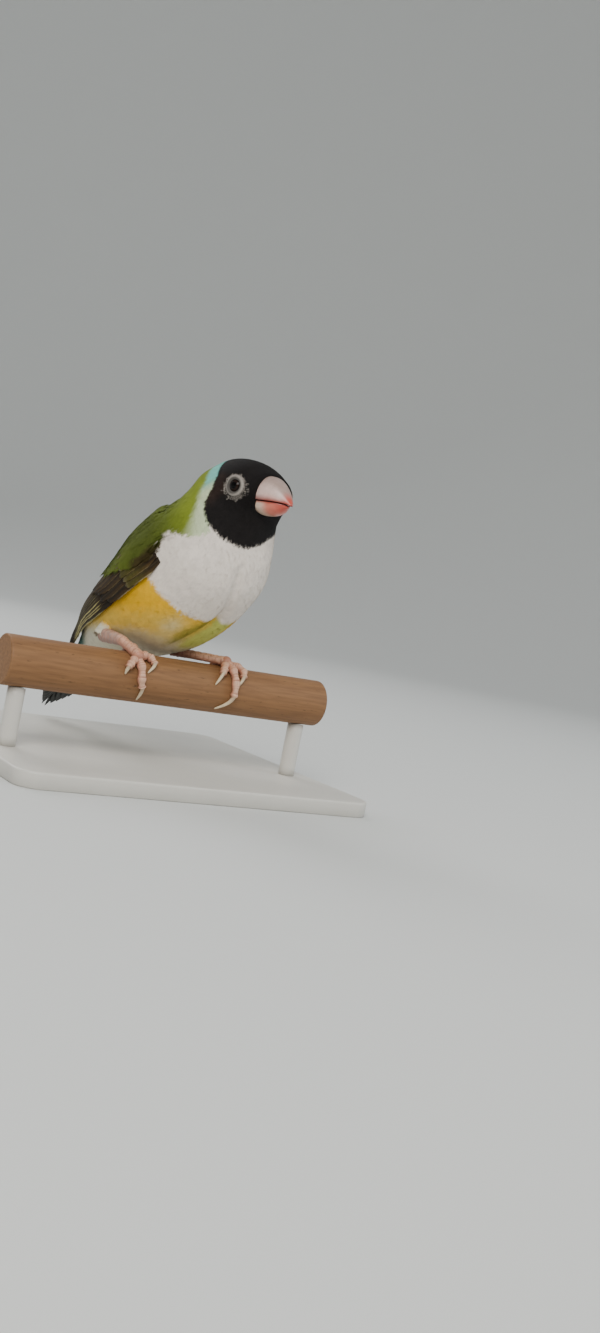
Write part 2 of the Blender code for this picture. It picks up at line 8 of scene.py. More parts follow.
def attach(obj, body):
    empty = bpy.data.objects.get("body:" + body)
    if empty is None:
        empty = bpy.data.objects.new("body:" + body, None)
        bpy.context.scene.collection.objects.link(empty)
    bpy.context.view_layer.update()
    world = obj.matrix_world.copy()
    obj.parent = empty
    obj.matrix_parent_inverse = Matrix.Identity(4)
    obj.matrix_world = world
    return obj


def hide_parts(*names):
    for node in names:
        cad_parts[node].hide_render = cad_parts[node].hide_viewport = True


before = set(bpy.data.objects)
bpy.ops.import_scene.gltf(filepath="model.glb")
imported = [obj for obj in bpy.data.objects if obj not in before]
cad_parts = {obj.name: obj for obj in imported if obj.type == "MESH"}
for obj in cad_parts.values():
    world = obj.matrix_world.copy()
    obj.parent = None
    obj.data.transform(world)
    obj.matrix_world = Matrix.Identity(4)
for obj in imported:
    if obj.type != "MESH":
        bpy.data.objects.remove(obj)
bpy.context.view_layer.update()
print("frame loaded")

# The bird is laid out in millimetres from the middle of the perch, as in the solids.
perchSize = {"height": 25.0, "back": -15.2, "radius": 6.35, "length": 92.0}
gap = 0.3  # between touching pieces
density = 1.0  # share of the feathers that is laid
pose = {
    "heading": 8.0, "bodySide": 0.5, "drop": 1.0,
    "headTurn": 4.0, "headForward": 17.2, "headUp": 51.2, "headSide": 1.0,
}

# From the tail's root to the face: the back's place forward and up, the belly's, half width,
# how far down from the back it is widest, and its share of the head's turn.
bodySections = np.array((
    (-47.8, 1.6, -45.6, -2.6, 2.6, 0.45, 0.0),
    (-43.7, 7.7, -40.5, 1.8, 4.2, 0.45, 0.0),
    (-39.1, 13.0, -34.0, 2.4, 6.8, 0.45, 0.0),
    (-32.8, 19.6, -24.0, 3.8, 11.2, 0.45, 0.0),
    (-25.2, 25.8, -13.0, 6.0, 14.8, 0.45, 0.0),
    (-17.1, 33.8, -2.0, 9.3, 16.6, 0.45, 0.0),
    (-10.3, 40.9, 6.6, 14.0, 17.6, 0.45, 0.0),
    (-5.3, 45.7, 14.3, 19.7, 16.5, 0.45, 0.05),
    (-1.2, 49.8, 20.5, 26.2, 15.2, 0.46, 0.2),
    (1.5, 53.6, 23.3, 33.3, 12.8, 0.47, 0.4),
    (3.8, 56.9, 23.6, 39.0, 11.5, 0.48, 0.6),
    (7.2, 59.0, 23.8, 42.5, 10.2, 0.5, 0.8),
    (11.2, 60.5, 24.0, 44.3, 9.8, 0.5, 0.95),
    (15.5, 60.9, 24.0, 45.7, 9.6, 0.5, 1.0),
    (20.1, 60.1, 24.0, 46.6, 9.2, 0.5, 1.0),
    (24.7, 57.8, 24.2, 47.4, 7.9, 0.5, 1.0),
))
lastSection = 14.0
# Past the last section the skin closes round the foot of the bill.
face = {"billFoot": 7.0, "up": 1.0, "inward": 0.44, "hollow": 1.4, "forward": 0.75, "coatShare": 0.6}


def rgb(red, green, blue):
    parts = (part / 255 for part in (red, green, blue))
    return np.array([part / 12.92 if part < 0.0405 else ((part + 0.055) / 1.055) ** 2.4 for part in parts])


paint = {
    "mask": rgb(20, 17, 17), "maskWarm": rgb(46, 33, 28), "ring": rgb(160, 152, 144),
    "turquoise": rgb(126, 196, 186), "paleNeck": rgb(196, 208, 172), "fringe": rgb(122, 136, 40),
    "moss": rgb(88, 100, 28), "mossDark": rgb(60, 68, 24),
    "rump": rgb(92, 128, 66), "teal": rgb(62, 140, 136),
    "white": rgb(232, 222, 212), "yellow": rgb(234, 182, 24), "yellowPale": rgb(228, 192, 84),
    "cream": rgb(228, 212, 160), "vent": rgb(222, 218, 198), "lilac": rgb(206, 194, 168),
    "oliveShade": rgb(128, 124, 44), "rim": rgb(190, 192, 96), "brown": rgb(54, 39, 22),
    "brownPale": rgb(96, 76, 44), "wingBlack": rgb(25, 21, 17), "edge": rgb(206, 196, 134),
    "tail": rgb(22, 27, 27),
}


def smooth(low, high, value):
    t = np.clip((value - low) / (high - low), 0.0, 1.0)
    return t * t * (3 - 2 * t)


def mix(first, second, share):
    share = np.asarray(share)[..., None]
    return first * (1 - share) + second * share


def hump(value, width):
    return np.exp(-((value / width) ** 2))


def wrapped(degrees):
    return (degrees + 180.0) % 360.0 - 180.0


def fullTurn(sides):
    return np.linspace(0, 2 * math.pi, sides, endpoint=False)


def stacked(*parts):
    return np.stack(np.broadcast_arrays(*parts), -1)


def distance(vectors):
    return np.linalg.norm(vectors, axis=-1)


def unit(vectors):
    return vectors / distance(vectors)[..., None]


def blendRows(table, place):
    # A smooth curve through the rows, read at any place between them.
    last = len(table) - 1
    place = np.clip(np.asarray(place, float), -0.5, last + 0.3)
    row = np.clip(np.floor(place), 0, last - 1).astype(int)
    t = (place - row)[..., None]
    index = np.arange(last + 1)
    low, high = np.maximum(index - 1, 0), np.minimum(index + 1, last)
    slopes = (table[high] - table[low]) / (high - low)[:, None]
    near = (2 * t**3 - 3 * t**2 + 1) * table[row] + (t**3 - 2 * t**2 + t) * slopes[row]
    far = (3 * t**2 - 2 * t**3) * table[row + 1] + (t**3 - t**2) * slopes[row + 1]
    return near + far


def bodyToWorld(forward, side, up):
    heading = math.radians(pose["heading"])
    x = forward * math.sin(heading) + side * math.cos(heading)
    y = -forward * math.cos(heading) + side * math.sin(heading)
    return stacked(x, y, up - pose["drop"])


def turned(forward, side, up, share):
    angle = math.radians(pose["headTurn"]) * share
    ahead = forward - pose["headForward"]
    shift = pose["bodySide"] * (1 - share) + pose["headSide"] * share
    return bodyToWorld(
        pose["headForward"] + ahead * np.cos(angle) - side * np.sin(angle),
        ahead * np.sin(angle) + side * np.cos(angle) + shift,
        up,
    )


def headToWorld(ahead, side, up):
    return turned(pose["headForward"] + ahead, side, pose["headUp"] + up, 1.0)


headAhead = headToWorld(1.0, 0.0, 0.0) - headToWorld(0.0, 0.0, 0.0)
headLeft = headToWorld(0.0, 1.0, 0.0) - headToWorld(0.0, 0.0, 0.0)

# Soft folds in the plumage, each from one (section, degrees) to another, with depth and width.
folds = {
    "breast": ((7.8, -169.0), (6.0, 177.0), 1.0, 5.0),
    "belly": ((6.1, 176.0), (4.3, -175.0), 0.9, 5.0),
}


def relief(section, degrees):
    depth = 0.0
    for start, end, deep, wide in folds.values():
        long = end[0] - start[0]
        t = np.clip((section - start[0]) / long, 0.0, 1.0)
        line = start[1] + wrapped(end[1] - start[1]) * t
        pastEnd = np.abs(section - (start[0] + long * t))
        strength = smooth(-0.25, 0.15, t) * (1 - smooth(0.0, 0.6, pastEnd))
        depth = depth - deep * strength * hump(wrapped(degrees - line), wide)
    return depth


def bodyPoint(section, degrees, over=0.0):
    # Degrees run round from the back, 0, over the left side, 90, to the belly, 180.
    section, degrees = np.broadcast_arrays(np.asarray(section, float), degrees)
    onFace = np.clip(section - lastSection, 0.0, 1.0)[..., None]
    section = np.minimum(section, lastSection)
    over = over + relief(section, degrees)
    row = blendRows(bodySections, section + 1)
    back, belly, split = row[..., 0:2], row[..., 2:4], row[..., 5]
    chord = back - belly
    length = distance(chord)
    rise = chord / length[..., None]
    middle = back - chord * split[..., None]
    angle = np.radians(degrees)
    share = np.where(np.cos(angle) > 0, split, 1 - split)
    place = middle + rise * ((share * length + over) * np.cos(angle))[..., None]
    spot = turned(place[..., 0], (row[..., 4] + over) * np.sin(angle), place[..., 1], row[..., 6])
    inward = headToWorld(face["billFoot"], 0.0, face["up"]) - spot
    inward = inward * face["inward"] * onFace ** face["hollow"]
    forward = face["forward"] + face["coatShare"] * np.asarray(over)[..., None]
    return spot + inward + headAhead * forward * np.sin(onFace * math.pi / 2)


# Borders of the markings: the places along each, then where it lies at them.
border = {
    "mask": (  # degrees, section
        (-180, -164, -148, -136, -112, -104, -98, -84, -68, -43, 0,
         43, 68, 84, 98, 112, 130, 147, 159, 167, 180),
        (9.05, 8.77, 8.67, 8.57, 8.57, 8.72, 8.92, 10.0, 10.7, 10.9, 11.0,
         10.9, 10.7, 10.0, 9.4, 9.4, 9.42, 9.55, 9.5, 9.3, 9.05),
    ),
    "mantle": (  # section, degrees
        (0.0, 0.9, 1.44, 2.7, 3.5, 4.1, 4.6, 5.2, 5.7, 5.8,
         6.05, 6.35, 6.6, 7.0, 7.3, 7.6, 7.9, 8.4, 9.0, 10.4),
        (70, 78, 84, 92, 96, 98, 100, 102, 104, 101, 98, 94, 90, 88, 98, 107, 113, 120, 104, 90),
    ),
    "breast": (  # degrees, section
        (0, 110, 122, 135, 150, 162, 172, 180),
        (5.58, 5.58, 5.58, 5.66, 5.66, 5.74, 5.83, 5.9),
    ),
    "yellow": (  # degrees, section
        (0, 100, 108, 120, 132, 144, 160, 180),
        (1.4, 2.0, 2.7, 3.05, 3.8, 4.25, 4.5, 4.6),
    ),
    "wing": (  # degrees, section
        (0, 20, 40, 60, 66, 78, 84, 92, 96, 100, 104),
        (2.4, 2.6, 3.2, 3.6, 3.8, 4.3, 4.7, 5.1, 5.6, 6.2, 6.6),
    ),
    "wingLow": ((-0.9, 0.9, 2.65, 4.35, 5.6, 6.6), (78, 86, 100, 107, 106, 92)),  # section, degrees
    "wingHigh": ((-0.9, 1.5, 2.7, 4.4, 6.6, 7.0), (50, 40, 16, 14, 30, 60)),  # section, degrees
}

# Where one colour passes into the next: a range of sections, of degrees where the name
# ends in Side, or of sections behind the mask or past the edge of the yellow.
blends = {
    "rump": (0.3, 1.3), "moss": (1.6, 3.2), "fringe": (6.8, 8.3),
    "darkBack": (4.6, 5.6), "darkFront": (6.3, 7.2), "darkSide": (40, 80),
    "brownBack": (5.0, 5.4), "brownFront": (6.5, 6.8), "brownSide": (89, 94),
    "paleNeck": (0.5, 1.7), "paleNeckSide": (64, 82), "turquoise": (0.8, 1.25), "turquoiseSide": (66, 86),
    "cream": (-1.0, -0.1), "yellowPale": (-0.3, 0.4), "yellow": (0.5, 1.7),
    "lilacBack": (1.8, 2.6), "lilacFront": (3.8, 4.4), "lilacSide": (124, 146),
    "teal": (0.3, 1.5), "tealSide": (108, 126), "oliveShade": (4.0, 4.6), "rim": (3.8, 4.6),
    "partingBend": (4.8, 6.0), "rimSide": (2, 8), "rimEndSide": (200, 215), "white": (-0.07, 0.07),
    "mantleSide": (-1.6, 1.6), "maskEdge": (-0.05, 0.05),
    "warmSide": (60, 75), "warmEndSide": (92, 108), "warmFront": (11.0, 12.4),
}


def borderAt(name, place):
    return np.interp(place, *border[name])


def fadeIn(name, value):
    return smooth(*blends[name], value)


def fadeOut(name, value):
    return 1 - fadeIn(name, value)


def upperColour(section, turn, behind):
    tone = mix(paint["teal"], paint["rump"], fadeIn("rump", section))
    tone = mix(tone, paint["moss"], fadeIn("moss", section))
    dark = fadeIn("darkBack", section) * fadeOut("darkFront", section) * fadeIn("darkSide", turn)
    tone = mix(tone, paint["mossDark"], 0.6 * dark)
    brown = fadeIn("brownSide", turn) * fadeIn("brownBack", section) * fadeOut("brownFront", section)
    tone = mix(tone, paint["brown"], 0.85 * brown)
    tone = mix(tone, paint["fringe"], fadeIn("fringe", section))
    tone = mix(tone, paint["paleNeck"], fadeOut("paleNeck", behind) * fadeIn("paleNeckSide", turn))
    return mix(tone, paint["turquoise"], fadeOut("turquoise", behind) * fadeOut("turquoiseSide", turn))


def lowerColour(section, turn, beyond):
    inYellow = section - borderAt("yellow", turn)
    tone = mix(paint["vent"], paint["cream"], fadeIn("cream", inYellow))
    lilac = fadeIn("lilacBack", section) * fadeOut("lilacFront", section) * fadeIn("lilacSide", turn)
    tone = mix(tone, paint["lilac"], 0.4 * lilac)
    tone = mix(tone, paint["yellowPale"], fadeIn("yellowPale", inYellow))
    tone = mix(tone, paint["yellow"], fadeIn("yellow", inYellow))
    tone = mix(tone, paint["teal"] * 0.55, 0.9 * fadeOut("tealSide", turn) * fadeOut("teal", section))
    # The pale bulge of the thigh, and the belly's parting, darkened olive as painted shade in its groove,
    # with its lighter far rim: the far flank's yellow tinted by painted green reflected light
    tone = mix(tone, paint["cream"], 0.75 * hump(section - 5.05, 0.42) * hump(beyond - 154, 8))
    parting = 174 + 6 * fadeIn("partingBend", section)
    tone = mix(tone, paint["oliveShade"], 0.85 * hump(beyond - parting + 4, 6) * fadeIn("oliveShade", section))
    rim = fadeIn("rimSide", beyond - parting) * fadeOut("rimEndSide", beyond) * fadeIn("rim", section)
    tone = mix(tone, paint["rim"], rim)
    return mix(tone, paint["white"], fadeIn("white", section - borderAt("breast", turn)))


def markings(section, degrees):
    # The colour at any place on the bird, for the skin and for every feather over it.
    signed = wrapped(degrees)
    turn = np.abs(signed)
    beyond = np.where(signed > 0, 360.0 - signed, turn)
    behind = borderAt("mask", signed) - section
    below = fadeIn("mantleSide", turn - borderAt("mantle", section))
    tone = mix(upperColour(section, turn, behind), lowerColour(section, turn, beyond), below)
    warm = fadeIn("warmSide", turn) * fadeOut("warmEndSide", turn) * fadeOut("warmFront", section)
    mask = mix(paint["mask"], paint["maskWarm"], 0.75 * warm)
    return mix(tone, mask, fadeIn("maskEdge", -behind))


def makeMesh(name, points, faces, smoothShade=True):
    mesh = bpy.data.meshes.new(name)
    corner = np.array((0.0, perchSize["back"], perchSize["height"]))
    placed = (np.asarray(points, float).reshape(-1, 3) + corner) * 0.001
    mesh.vertices.add(len(placed))
    mesh.vertices.foreach_set("co", placed.astype(np.float32).ravel())
    corners = np.concatenate([np.asarray(block).ravel() for block in faces])
    sizes = np.concatenate([np.full(len(block), np.asarray(block).shape[1]) for block in faces])
    mesh.loops.add(len(corners))
    mesh.loops.foreach_set("vertex_index", corners.astype(np.int32))
    mesh.polygons.add(len(sizes))
    mesh.polygons.foreach_set("loop_start", np.concatenate(([0], np.cumsum(sizes)[:-1])).astype(np.int32))
    mesh.polygons.foreach_set("use_smooth", np.full(len(sizes), smoothShade))
    mesh.update(calc_edges=True)
    obj = bpy.data.objects.new(name, mesh)
    bpy.context.scene.collection.objects.link(obj)
    return obj


def addColours(obj, colours):
    layer = obj.data.color_attributes.new("plumage", "FLOAT_COLOR", "POINT")
    rows = np.ones((len(obj.data.vertices), 4), np.float32)
    rows[:, :3] = np.asarray(colours).reshape(-1, 3)
    layer.data.foreach_set("color", rows.ravel())


def addBakeMap(obj, places):
    layer = obj.data.uv_layers.new(name="OFBake")
    index = np.empty(len(obj.data.loops), np.int32)
    obj.data.loops.foreach_get("vertex_index", index)
    layer.data.foreach_set("uv", np.asarray(places, np.float32).reshape(-1, 2)[index].ravel())


def finishPiece(obj, material, slotName, *nodes):
    obj.data.materials.append(material)
    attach(obj, "root")
    if nodes:
        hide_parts(*nodes)
    return obj


def joinParts(name, parts, material, slotName, *nodes):
    # Each part has its points, faces and colours, and a feather its places on the bake map too.
    points, faces, colours, places, start = [], [], [], [], 0
    for part in parts:
        points.append(part[0].reshape(-1, 3))
        faces += [block + start for block in part[1]]
        colours.append(part[2].reshape(-1, 3))
        places += [block.reshape(-1, 2) for block in part[3:]]
        start += len(points[-1])
    obj = makeMesh(name, np.concatenate(points), faces)
    addColours(obj, np.concatenate(colours))
    if places:
        addBakeMap(obj, np.concatenate(places))
    return finishPiece(obj, material, slotName, *nodes)


def tubeFaces(rings, sides):
    i, j = np.meshgrid(np.arange(rings - 1), np.arange(sides), indexing="ij")
    a, b = i * sides + j, i * sides + (j + 1) % sides
    quads = stacked(a, b, b + sides, a + sides).reshape(-1, 4)
    turn = np.arange(sides)
    last = (rings - 1) * sides
    return [quads, turn[None, ::-1], (last + turn)[None, :]]


def gridFaces(rings, across):
    i, j = np.meshgrid(np.arange(rings - 1), np.arange(across - 1), indexing="ij")
    a = i * across + j
    return stacked(a, a + 1, a + across + 1, a + across).reshape(-1, 4)


# Materials
def setInputs(node, **values):
    for label, value in values.items():
        node.inputs[label.replace("_", " ")].default_value = value


def newMaterial(name, **values):
    material = bpy.data.materials.new(name)
    material.use_nodes = True
    shader = material.node_tree.nodes["Principled BSDF"]
    setInputs(shader, **values)
    return material, material.node_tree, shader


def addBump(tree, shader, height, strength, distance):
    lift = tree.nodes.new("ShaderNodeBump")
    setInputs(lift, Strength=strength, Distance=distance)
    tree.links.new(height, lift.inputs["Height"])
    tree.links.new(lift.outputs["Normal"], shader.inputs["Normal"])


def addMix(tree, factor, first, blend="MIX"):
    node = tree.nodes.new("ShaderNodeMix")
    node.data_type = "RGBA"
    node.blend_type = blend
    tree.links.new(factor, node.inputs["Factor"])
    tree.links.new(first, node.inputs["A"])
    return node


def addRange(tree, value, **limits):
    node = tree.nodes.new("ShaderNodeMapRange")
    setInputs(node, **limits)
    tree.links.new(value, node.inputs["Value"])
    return node.outputs["Result"]


def mottleGroup():
    group = bpy.data.node_groups.new("surfaceMottle", "ShaderNodeTree")
    inputs = (
        ("Colour", "NodeSocketColor", (1, 1, 1, 1)),
        ("Scale", "NodeSocketFloat", 400.0),
        ("Amount", "NodeSocketFloat", 0.2),
    )
    for label, kind, value in inputs:
        group.interface.new_socket(label, in_out="INPUT", socket_type=kind).default_value = value
    for label, kind in (("Colour", "NodeSocketColor"), ("Height", "NodeSocketFloat")):
        group.interface.new_socket(label, in_out="OUTPUT", socket_type=kind)
    entry, leave = group.nodes.new("NodeGroupInput"), group.nodes.new("NodeGroupOutput")
    place = group.nodes.new("ShaderNodeTexCoord")
    fine = group.nodes.new("ShaderNodeTexNoise")
    setInputs(fine, Detail=4.0)
    group.links.new(place.outputs["Object"], fine.inputs["Vector"])
    group.links.new(entry.outputs["Scale"], fine.inputs["Scale"])
    shade = addRange(group, fine.outputs["Fac"], From_Min=0.3, From_Max=0.7, To_Min=0.45, To_Max=1.35)
    tint = addMix(group, entry.outputs["Amount"], entry.outputs["Colour"], "MULTIPLY")
    group.links.new(shade, tint.inputs["B"])
    group.links.new(tint.outputs["Result"], leave.inputs["Colour"])
    group.links.new(fine.outputs["Fac"], leave.inputs["Height"])
    return group


mottle = mottleGroup()


def addMottle(tree, shader, scale, amount, bump):
    tone = tree.nodes.new("ShaderNodeGroup")
    tone.node_tree = mottle
    setInputs(tone, Scale=scale, Amount=amount)
    tree.links.new(tone.outputs["Colour"], shader.inputs["Base Color"])
    addBump(tree, shader, tone.outputs["Height"], bump, 0.0001)
    return tone


def paintedMaterial(name, roughness, scale, amount, bump, **sockets):
    # Takes its colour from the mesh's own "plumage" layer.
    material, tree, shader = newMaterial(name, Roughness=roughness, **sockets)
    layer = tree.nodes.new("ShaderNodeAttribute")
    layer.attribute_name = "plumage"
    tone = addMottle(tree, shader, scale, amount, bump)
    tree.links.new(layer.outputs["Color"], tone.inputs["Colour"])
    return material


featherSoft = paintedMaterial("softFeather", 0.85, 500.0, 0.15, 0.1, Specular_IOR_Level=0.2)
featherMask = paintedMaterial("maskFeather", 0.8, 600.0, 0.3, 0.15, Specular_IOR_Level=0.2)
featherFlight = paintedMaterial("flightFeather", 0.62, 1400.0, 0.35, 0.3, Specular_IOR_Level=0.15)
featherTail = paintedMaterial("tailFeather", 0.45, 1400.0, 0.3, 0.3)
skinFlesh = paintedMaterial("bareSkin", 0.8, 500.0, 0.4, 0.3)
hornPink = paintedMaterial("billHorn", 0.36, 800.0, 0.2, 0.12, Coat_Weight=0.25, Coat_Roughness=0.3)
fleshPink = paintedMaterial("legScales", 0.5, 900.0, 0.3, 0.3)
clawHorn = paintedMaterial("clawHorn", 0.35, 900.0, 0.25, 0.15)
eyeDark = paintedMaterial("eyeDark", 0.05, 900.0, 0.1, 0.0, Specular_IOR_Level=0.12)
print("materials ready")

# Skin: one closed surface under all of the plumage, from the rump to the bill.
skinSize = {
    "rings": 150, "sides": 120, "deep": -0.52, "headRise": 0.1, "headFrom": (8.5, 10.5), "shade": 0.95,
}


def skinOver(section):
    return skinSize["deep"] + skinSize["headRise"] * smooth(*skinSize["headFrom"], section)


def skinPlace(section, degrees):
    # The bake map is the skin laid flat: round it across, tail to face upward.
    across = 0.01 + 0.98 * (((degrees + 180.0) % 360.0) / 360.0)
    upward = 0.02 + 0.96 * (section + 0.5) / (lastSection + 2.0)
    return stacked(across, upward)


def withEnds(rows):
    rows = rows.reshape(-1, rows.shape[-1])
    return np.concatenate((rows, rows[:1], rows[-1:]))


def buildSkin():
    rings, sides = skinSize["rings"], skinSize["sides"]
    section = np.linspace(0.0, lastSection + 1.0, rings)[:, None] + np.zeros((1, sides + 1))
    degrees = np.zeros((rings, 1)) + np.linspace(-180.0, 180.0, sides + 1)[None, :]
    points = bodyPoint(section, degrees, skinOver(section))
    ends = [points[0, :-1].mean(0), points[-1, :-1].mean(0)]
    turn = np.arange(sides)
    last = (rings - 1) * (sides + 1)
    centre = last + sides + 1
    faces = [
        gridFaces(rings, sides + 1),
        stacked(centre, turn + 1, turn),
        stacked(centre + 1, last + turn, last + turn + 1),
    ]
    skin = makeMesh("skin", np.concatenate((points.reshape(-1, 3), ends)), faces)
    addColours(skin, withEnds(markings(section, degrees) * skinSize["shade"]))
    addBakeMap(skin, withEnds(skinPlace(section, degrees)))
    finishPiece(skin, skinFlesh, "plumage_white", "head", "neck", "torso", "rump")


buildSkin()
print("skin built")

# Barbs of a soft feather: where they leave the shaft, how they shorten and how far they reach.
barbShape = {
    "first": 0.16, "span": 0.78, "shorten": 0.45, "end": 1.12, "bow": 1.12, "round": 0.66, "power": 2.4,
    "faces": ((0, 1, 3), (1, 2, 3), (2, 0, 3), (0, 2, 1)),
}


def softTemplate(ringPlaces, ringWidths, barbsEachSide, barbLong, barbWide):
    # A thin lens from root to tip under fine barbs. A point is its place along and across,
    # its height and whether it is a loose end.
    points, faces = [], []
    for along, across in zip(ringPlaces, ringWidths):
        points += [(along, -across, 0, 0), (along, 0, 1, 0), (along, across, 0, 0), (along, 0, -1, 0)]
    end = (len(ringPlaces) - 1) * 4
    for ring in range(0, end, 4):
        for k in range(4):
            a, b = ring + k, ring + (k + 1) % 4
            faces += [(a, b, b + 4), (a, b + 4, a + 4)]
    faces += [(0, 2, 1), (0, 3, 2), (end, end + 1, end + 2), (end, end + 2, end + 3)]
    for k in range(barbsEachSide * 2):
        side = 1 if k % 2 else -1
        t = (k // 2 + 0.5 * (k % 2)) / barbsEachSide
        foot = barbShape["first"] + barbShape["span"] * t
        tip = min(foot + barbLong * (1 - barbShape["shorten"] * t), barbShape["end"] - 0.05 * t)
        reach = 1 - (abs(tip - 0.5) / barbShape["round"]) ** barbShape["power"]
        start = len(points)
        points += [
            (foot - barbWide, 0.04 * side, 0.8, 0),
            (foot + barbWide, 0.04 * side, 0.8, 0),
            (foot, 0.25 * side, 1.8, 0),
            (tip, side * barbShape["bow"] * math.sqrt(max(0.0, reach)), 0.6, 1),
        ]
        faces += [tuple(start + k for k in corners) for corners in barbShape["faces"]]
    return np.array(points, float), np.array(faces)


vaneShape = {"root": 0.5, "rootEnd": 0.25, "notch": 0.94, "least": 0.05}


def vaneTemplate(rings, across, pointed):
    # A vane of a wing or of the tail: a closed plate that narrows at both ends, with notched edges.
    points = []
    for layer in (1.0, -1.0):
        for i in range(rings):
            s = i / (rings - 1)
            width = vaneShape["root"] + (1 - vaneShape["root"]) * min(1.0, s / vaneShape["rootEnd"])
            tip = 1.0 if s < pointed else math.sqrt(max(0.0, 1 - ((s - pointed) / (1.001 - pointed)) ** 2))
            for w in np.linspace(-1, 1, across):
                rim = abs(w) > 0.99
                notch = vaneShape["notch"] if i % 2 and rim else 1.0
                points.append((s, w * width * max(tip, vaneShape["least"]) * notch, layer, rim))
    quads = gridFaces(rings, across)
    top = np.concatenate((quads[:, (0, 1, 2)], quads[:, (0, 2, 3)]))
    grid = np.arange(rings * across).reshape(rings, across)
    under = grid.size
    a = np.concatenate((grid[0], grid[1:, -1], grid[-1, -2::-1], grid[-2:0:-1, 0]))
    b = np.roll(a, -1)
    sides = stacked(a, under + b, b, a, under + a, under + b).reshape(-1, 3)
    return np.array(points, float), np.concatenate((top, top[:, ::-1] + under, sides))


def layFeathers(surface, roots, tips, half, low, high, template, rng,
                cup=0.05, thick=0.02, fray=0.18, tilt=0.0, ease=1.0):
    # Every feather runs from its root to its tip over the surface, rising from low to high.
    points, faces = template
    along, across, layer, loose = (points[:, k][None, :] for k in range(4))
    shape = (len(half), len(points))
    along = along + loose * rng.uniform(-1, 1, shape) * 0.4 * fray
    across = across + loose * rng.uniform(-fray, fray, shape)
    on = np.clip(along, 0, 1)
    rootA, rootB, tipA, tipB, half, low, high = (
        np.asarray(values, float)[:, None] for values in (*roots, *tips, half, low, high))
    perDegree = []
    for share in (0.15, 0.85):
        a, b = rootA + (tipA - rootA) * share, rootB + (tipB - rootB) * share
        perDegree.append(distance(surface(a, b + 1.0, high) - surface(a, b, high)))
    metric = np.maximum(perDegree[0] + (perDegree[1] - perDegree[0]) * on, 0.02)
    section = rootA + (tipA - rootA) * along
    degrees = rootB + (tipB - rootB) * along + across * half / metric
    over = low + (high - low) * (1 - (1 - on) ** ease) - cup * half * across**2
    over = over + layer * thick * (1 - 0.5 * on) + tilt * across
    spots = surface(section, degrees, over).reshape(-1, 3)
    offsets = (np.arange(shape[0]) * shape[1])[:, None, None]
    blocks = [(faces[None] + offsets).reshape(-1, 3)]
    return spots, blocks, np.clip(along, 0, 1.2), across, section, degrees


def shadeFeathers(base, along, rng, darkRoot, paleTip, noise):
    grade = 1.0 - darkRoot * (1 - np.clip(along / 0.6, 0, 1)) + paleTip * smooth(0.75, 1.05, along)
    tint = 1.0 + rng.uniform(-noise, noise, (len(base), 1))
    return base * (grade * tint)[..., None]


def bakePatch(places, along, across):
    # Each tuft is a small patch at its root's place on the bake map.
    return places[:, None, :] + stacked(across, along * 2 - 1) * coatSize["patch"]


# The coat's feathers. Lengths go by section, in millimetres.
coatSize = {
    "sections": (0.0, 1.0, 3.0, 6.0, 7.2, 8.2, 9.2, 10.2, 11.5, 13.0, 15.0),
    "length": (5.6, 4.8, 4.4, 3.8, 3.3, 2.7, 2.1, 1.75, 1.45, 1.2, 0.85),
    "widthShare": 0.25,  # half width over length
    "leaf": 1.6,  # a feather's area over its length times half width
    "cover": 7.9,  # feathers over each place
    "jitter": 0.2, "scatter": 0.4, "sway": 0.16,
    "rootOver": 0.08, "tipOver": -0.12, "tipSpread": 0.03, "ease": 2.4,
    "wingLift": 1.6, "backLift": 0.35, "backSide": (48, 70),  # over the wing, and more near the back
    "rise": (0.1, 0.9),  # least and most that a tip stands over its root
    "headShare": 0.4,  # of the root's height, from section 9 on
    "halfRange": (0.85, 1.15),
    "seenAt": 0.8,  # share of its length at which a feather's marking is read
    "patch": 0.0015,  # half a feather's size on the bake map
    "first": 0.05, "last": 14.9, "perPiece": 190000,
    "maskShort": (0.4, 0.45), "breastShort": (0.3, 0.5), "mantleShort": (0.3, 9.0),
    "eyeShort": (0.6, 2.4, 4.4),
}
eye = {
    "ahead": 4.3, "up": 1.7, "side": 9.0, "leftIn": 0.3,  # the left one sits further in
    "depth": 1.15, "turn": 12.0, "radius": 2.0, "ringRadius": 2.05, "ringTube": 0.5, "beads": 11,
    "fleckReach": 2.75,  # pale flecks in the feathers round the ring
    "rootClear": 2.4, "tipClear": 2.35, "middleClear": 2.3,  # feathers stay out of these
}


def onWing(section, degrees, margin=0.0):
    turn = np.abs(wrapped(degrees))
    shift = margin * 0.03
    inside = smooth(-6, 6, borderAt("wingLow", section) - margin - turn)
    inside = inside * smooth(-8, 14, turn - borderAt("wingHigh", section) - margin)
    return inside * smooth(0.9, 1.5, section - shift) * (1 - smooth(6.2, 7.3, section + shift))


def metricAt(section, degrees):
    # Millimetres to a section and to a degree
    here = bodyPoint(section, degrees, -0.3)
    along = distance(bodyPoint(section - 0.06, degrees, -0.3) - here) / 0.06
    around = distance(bodyPoint(section, degrees + 1.0, -0.3) - here)
    return np.maximum(along, 1.0), np.maximum(around, 0.02)


def eyeReach(section, degrees):
    spot = bodyPoint(section, degrees)
    centres = [headToWorld(eye["ahead"], eye["side"] * side, eye["up"]) for side in (1, -1)]
    return np.minimum(*(distance(spot - centre) for centre in centres))


def beforeEye(section, degrees):
    offset = bodyPoint(section, degrees) - headToWorld(eye["ahead"], 0.0, eye["up"])
    return smooth(-0.5, 2.0, offset @ headAhead) * smooth(-2.5, 0.5, -offset[..., 2])


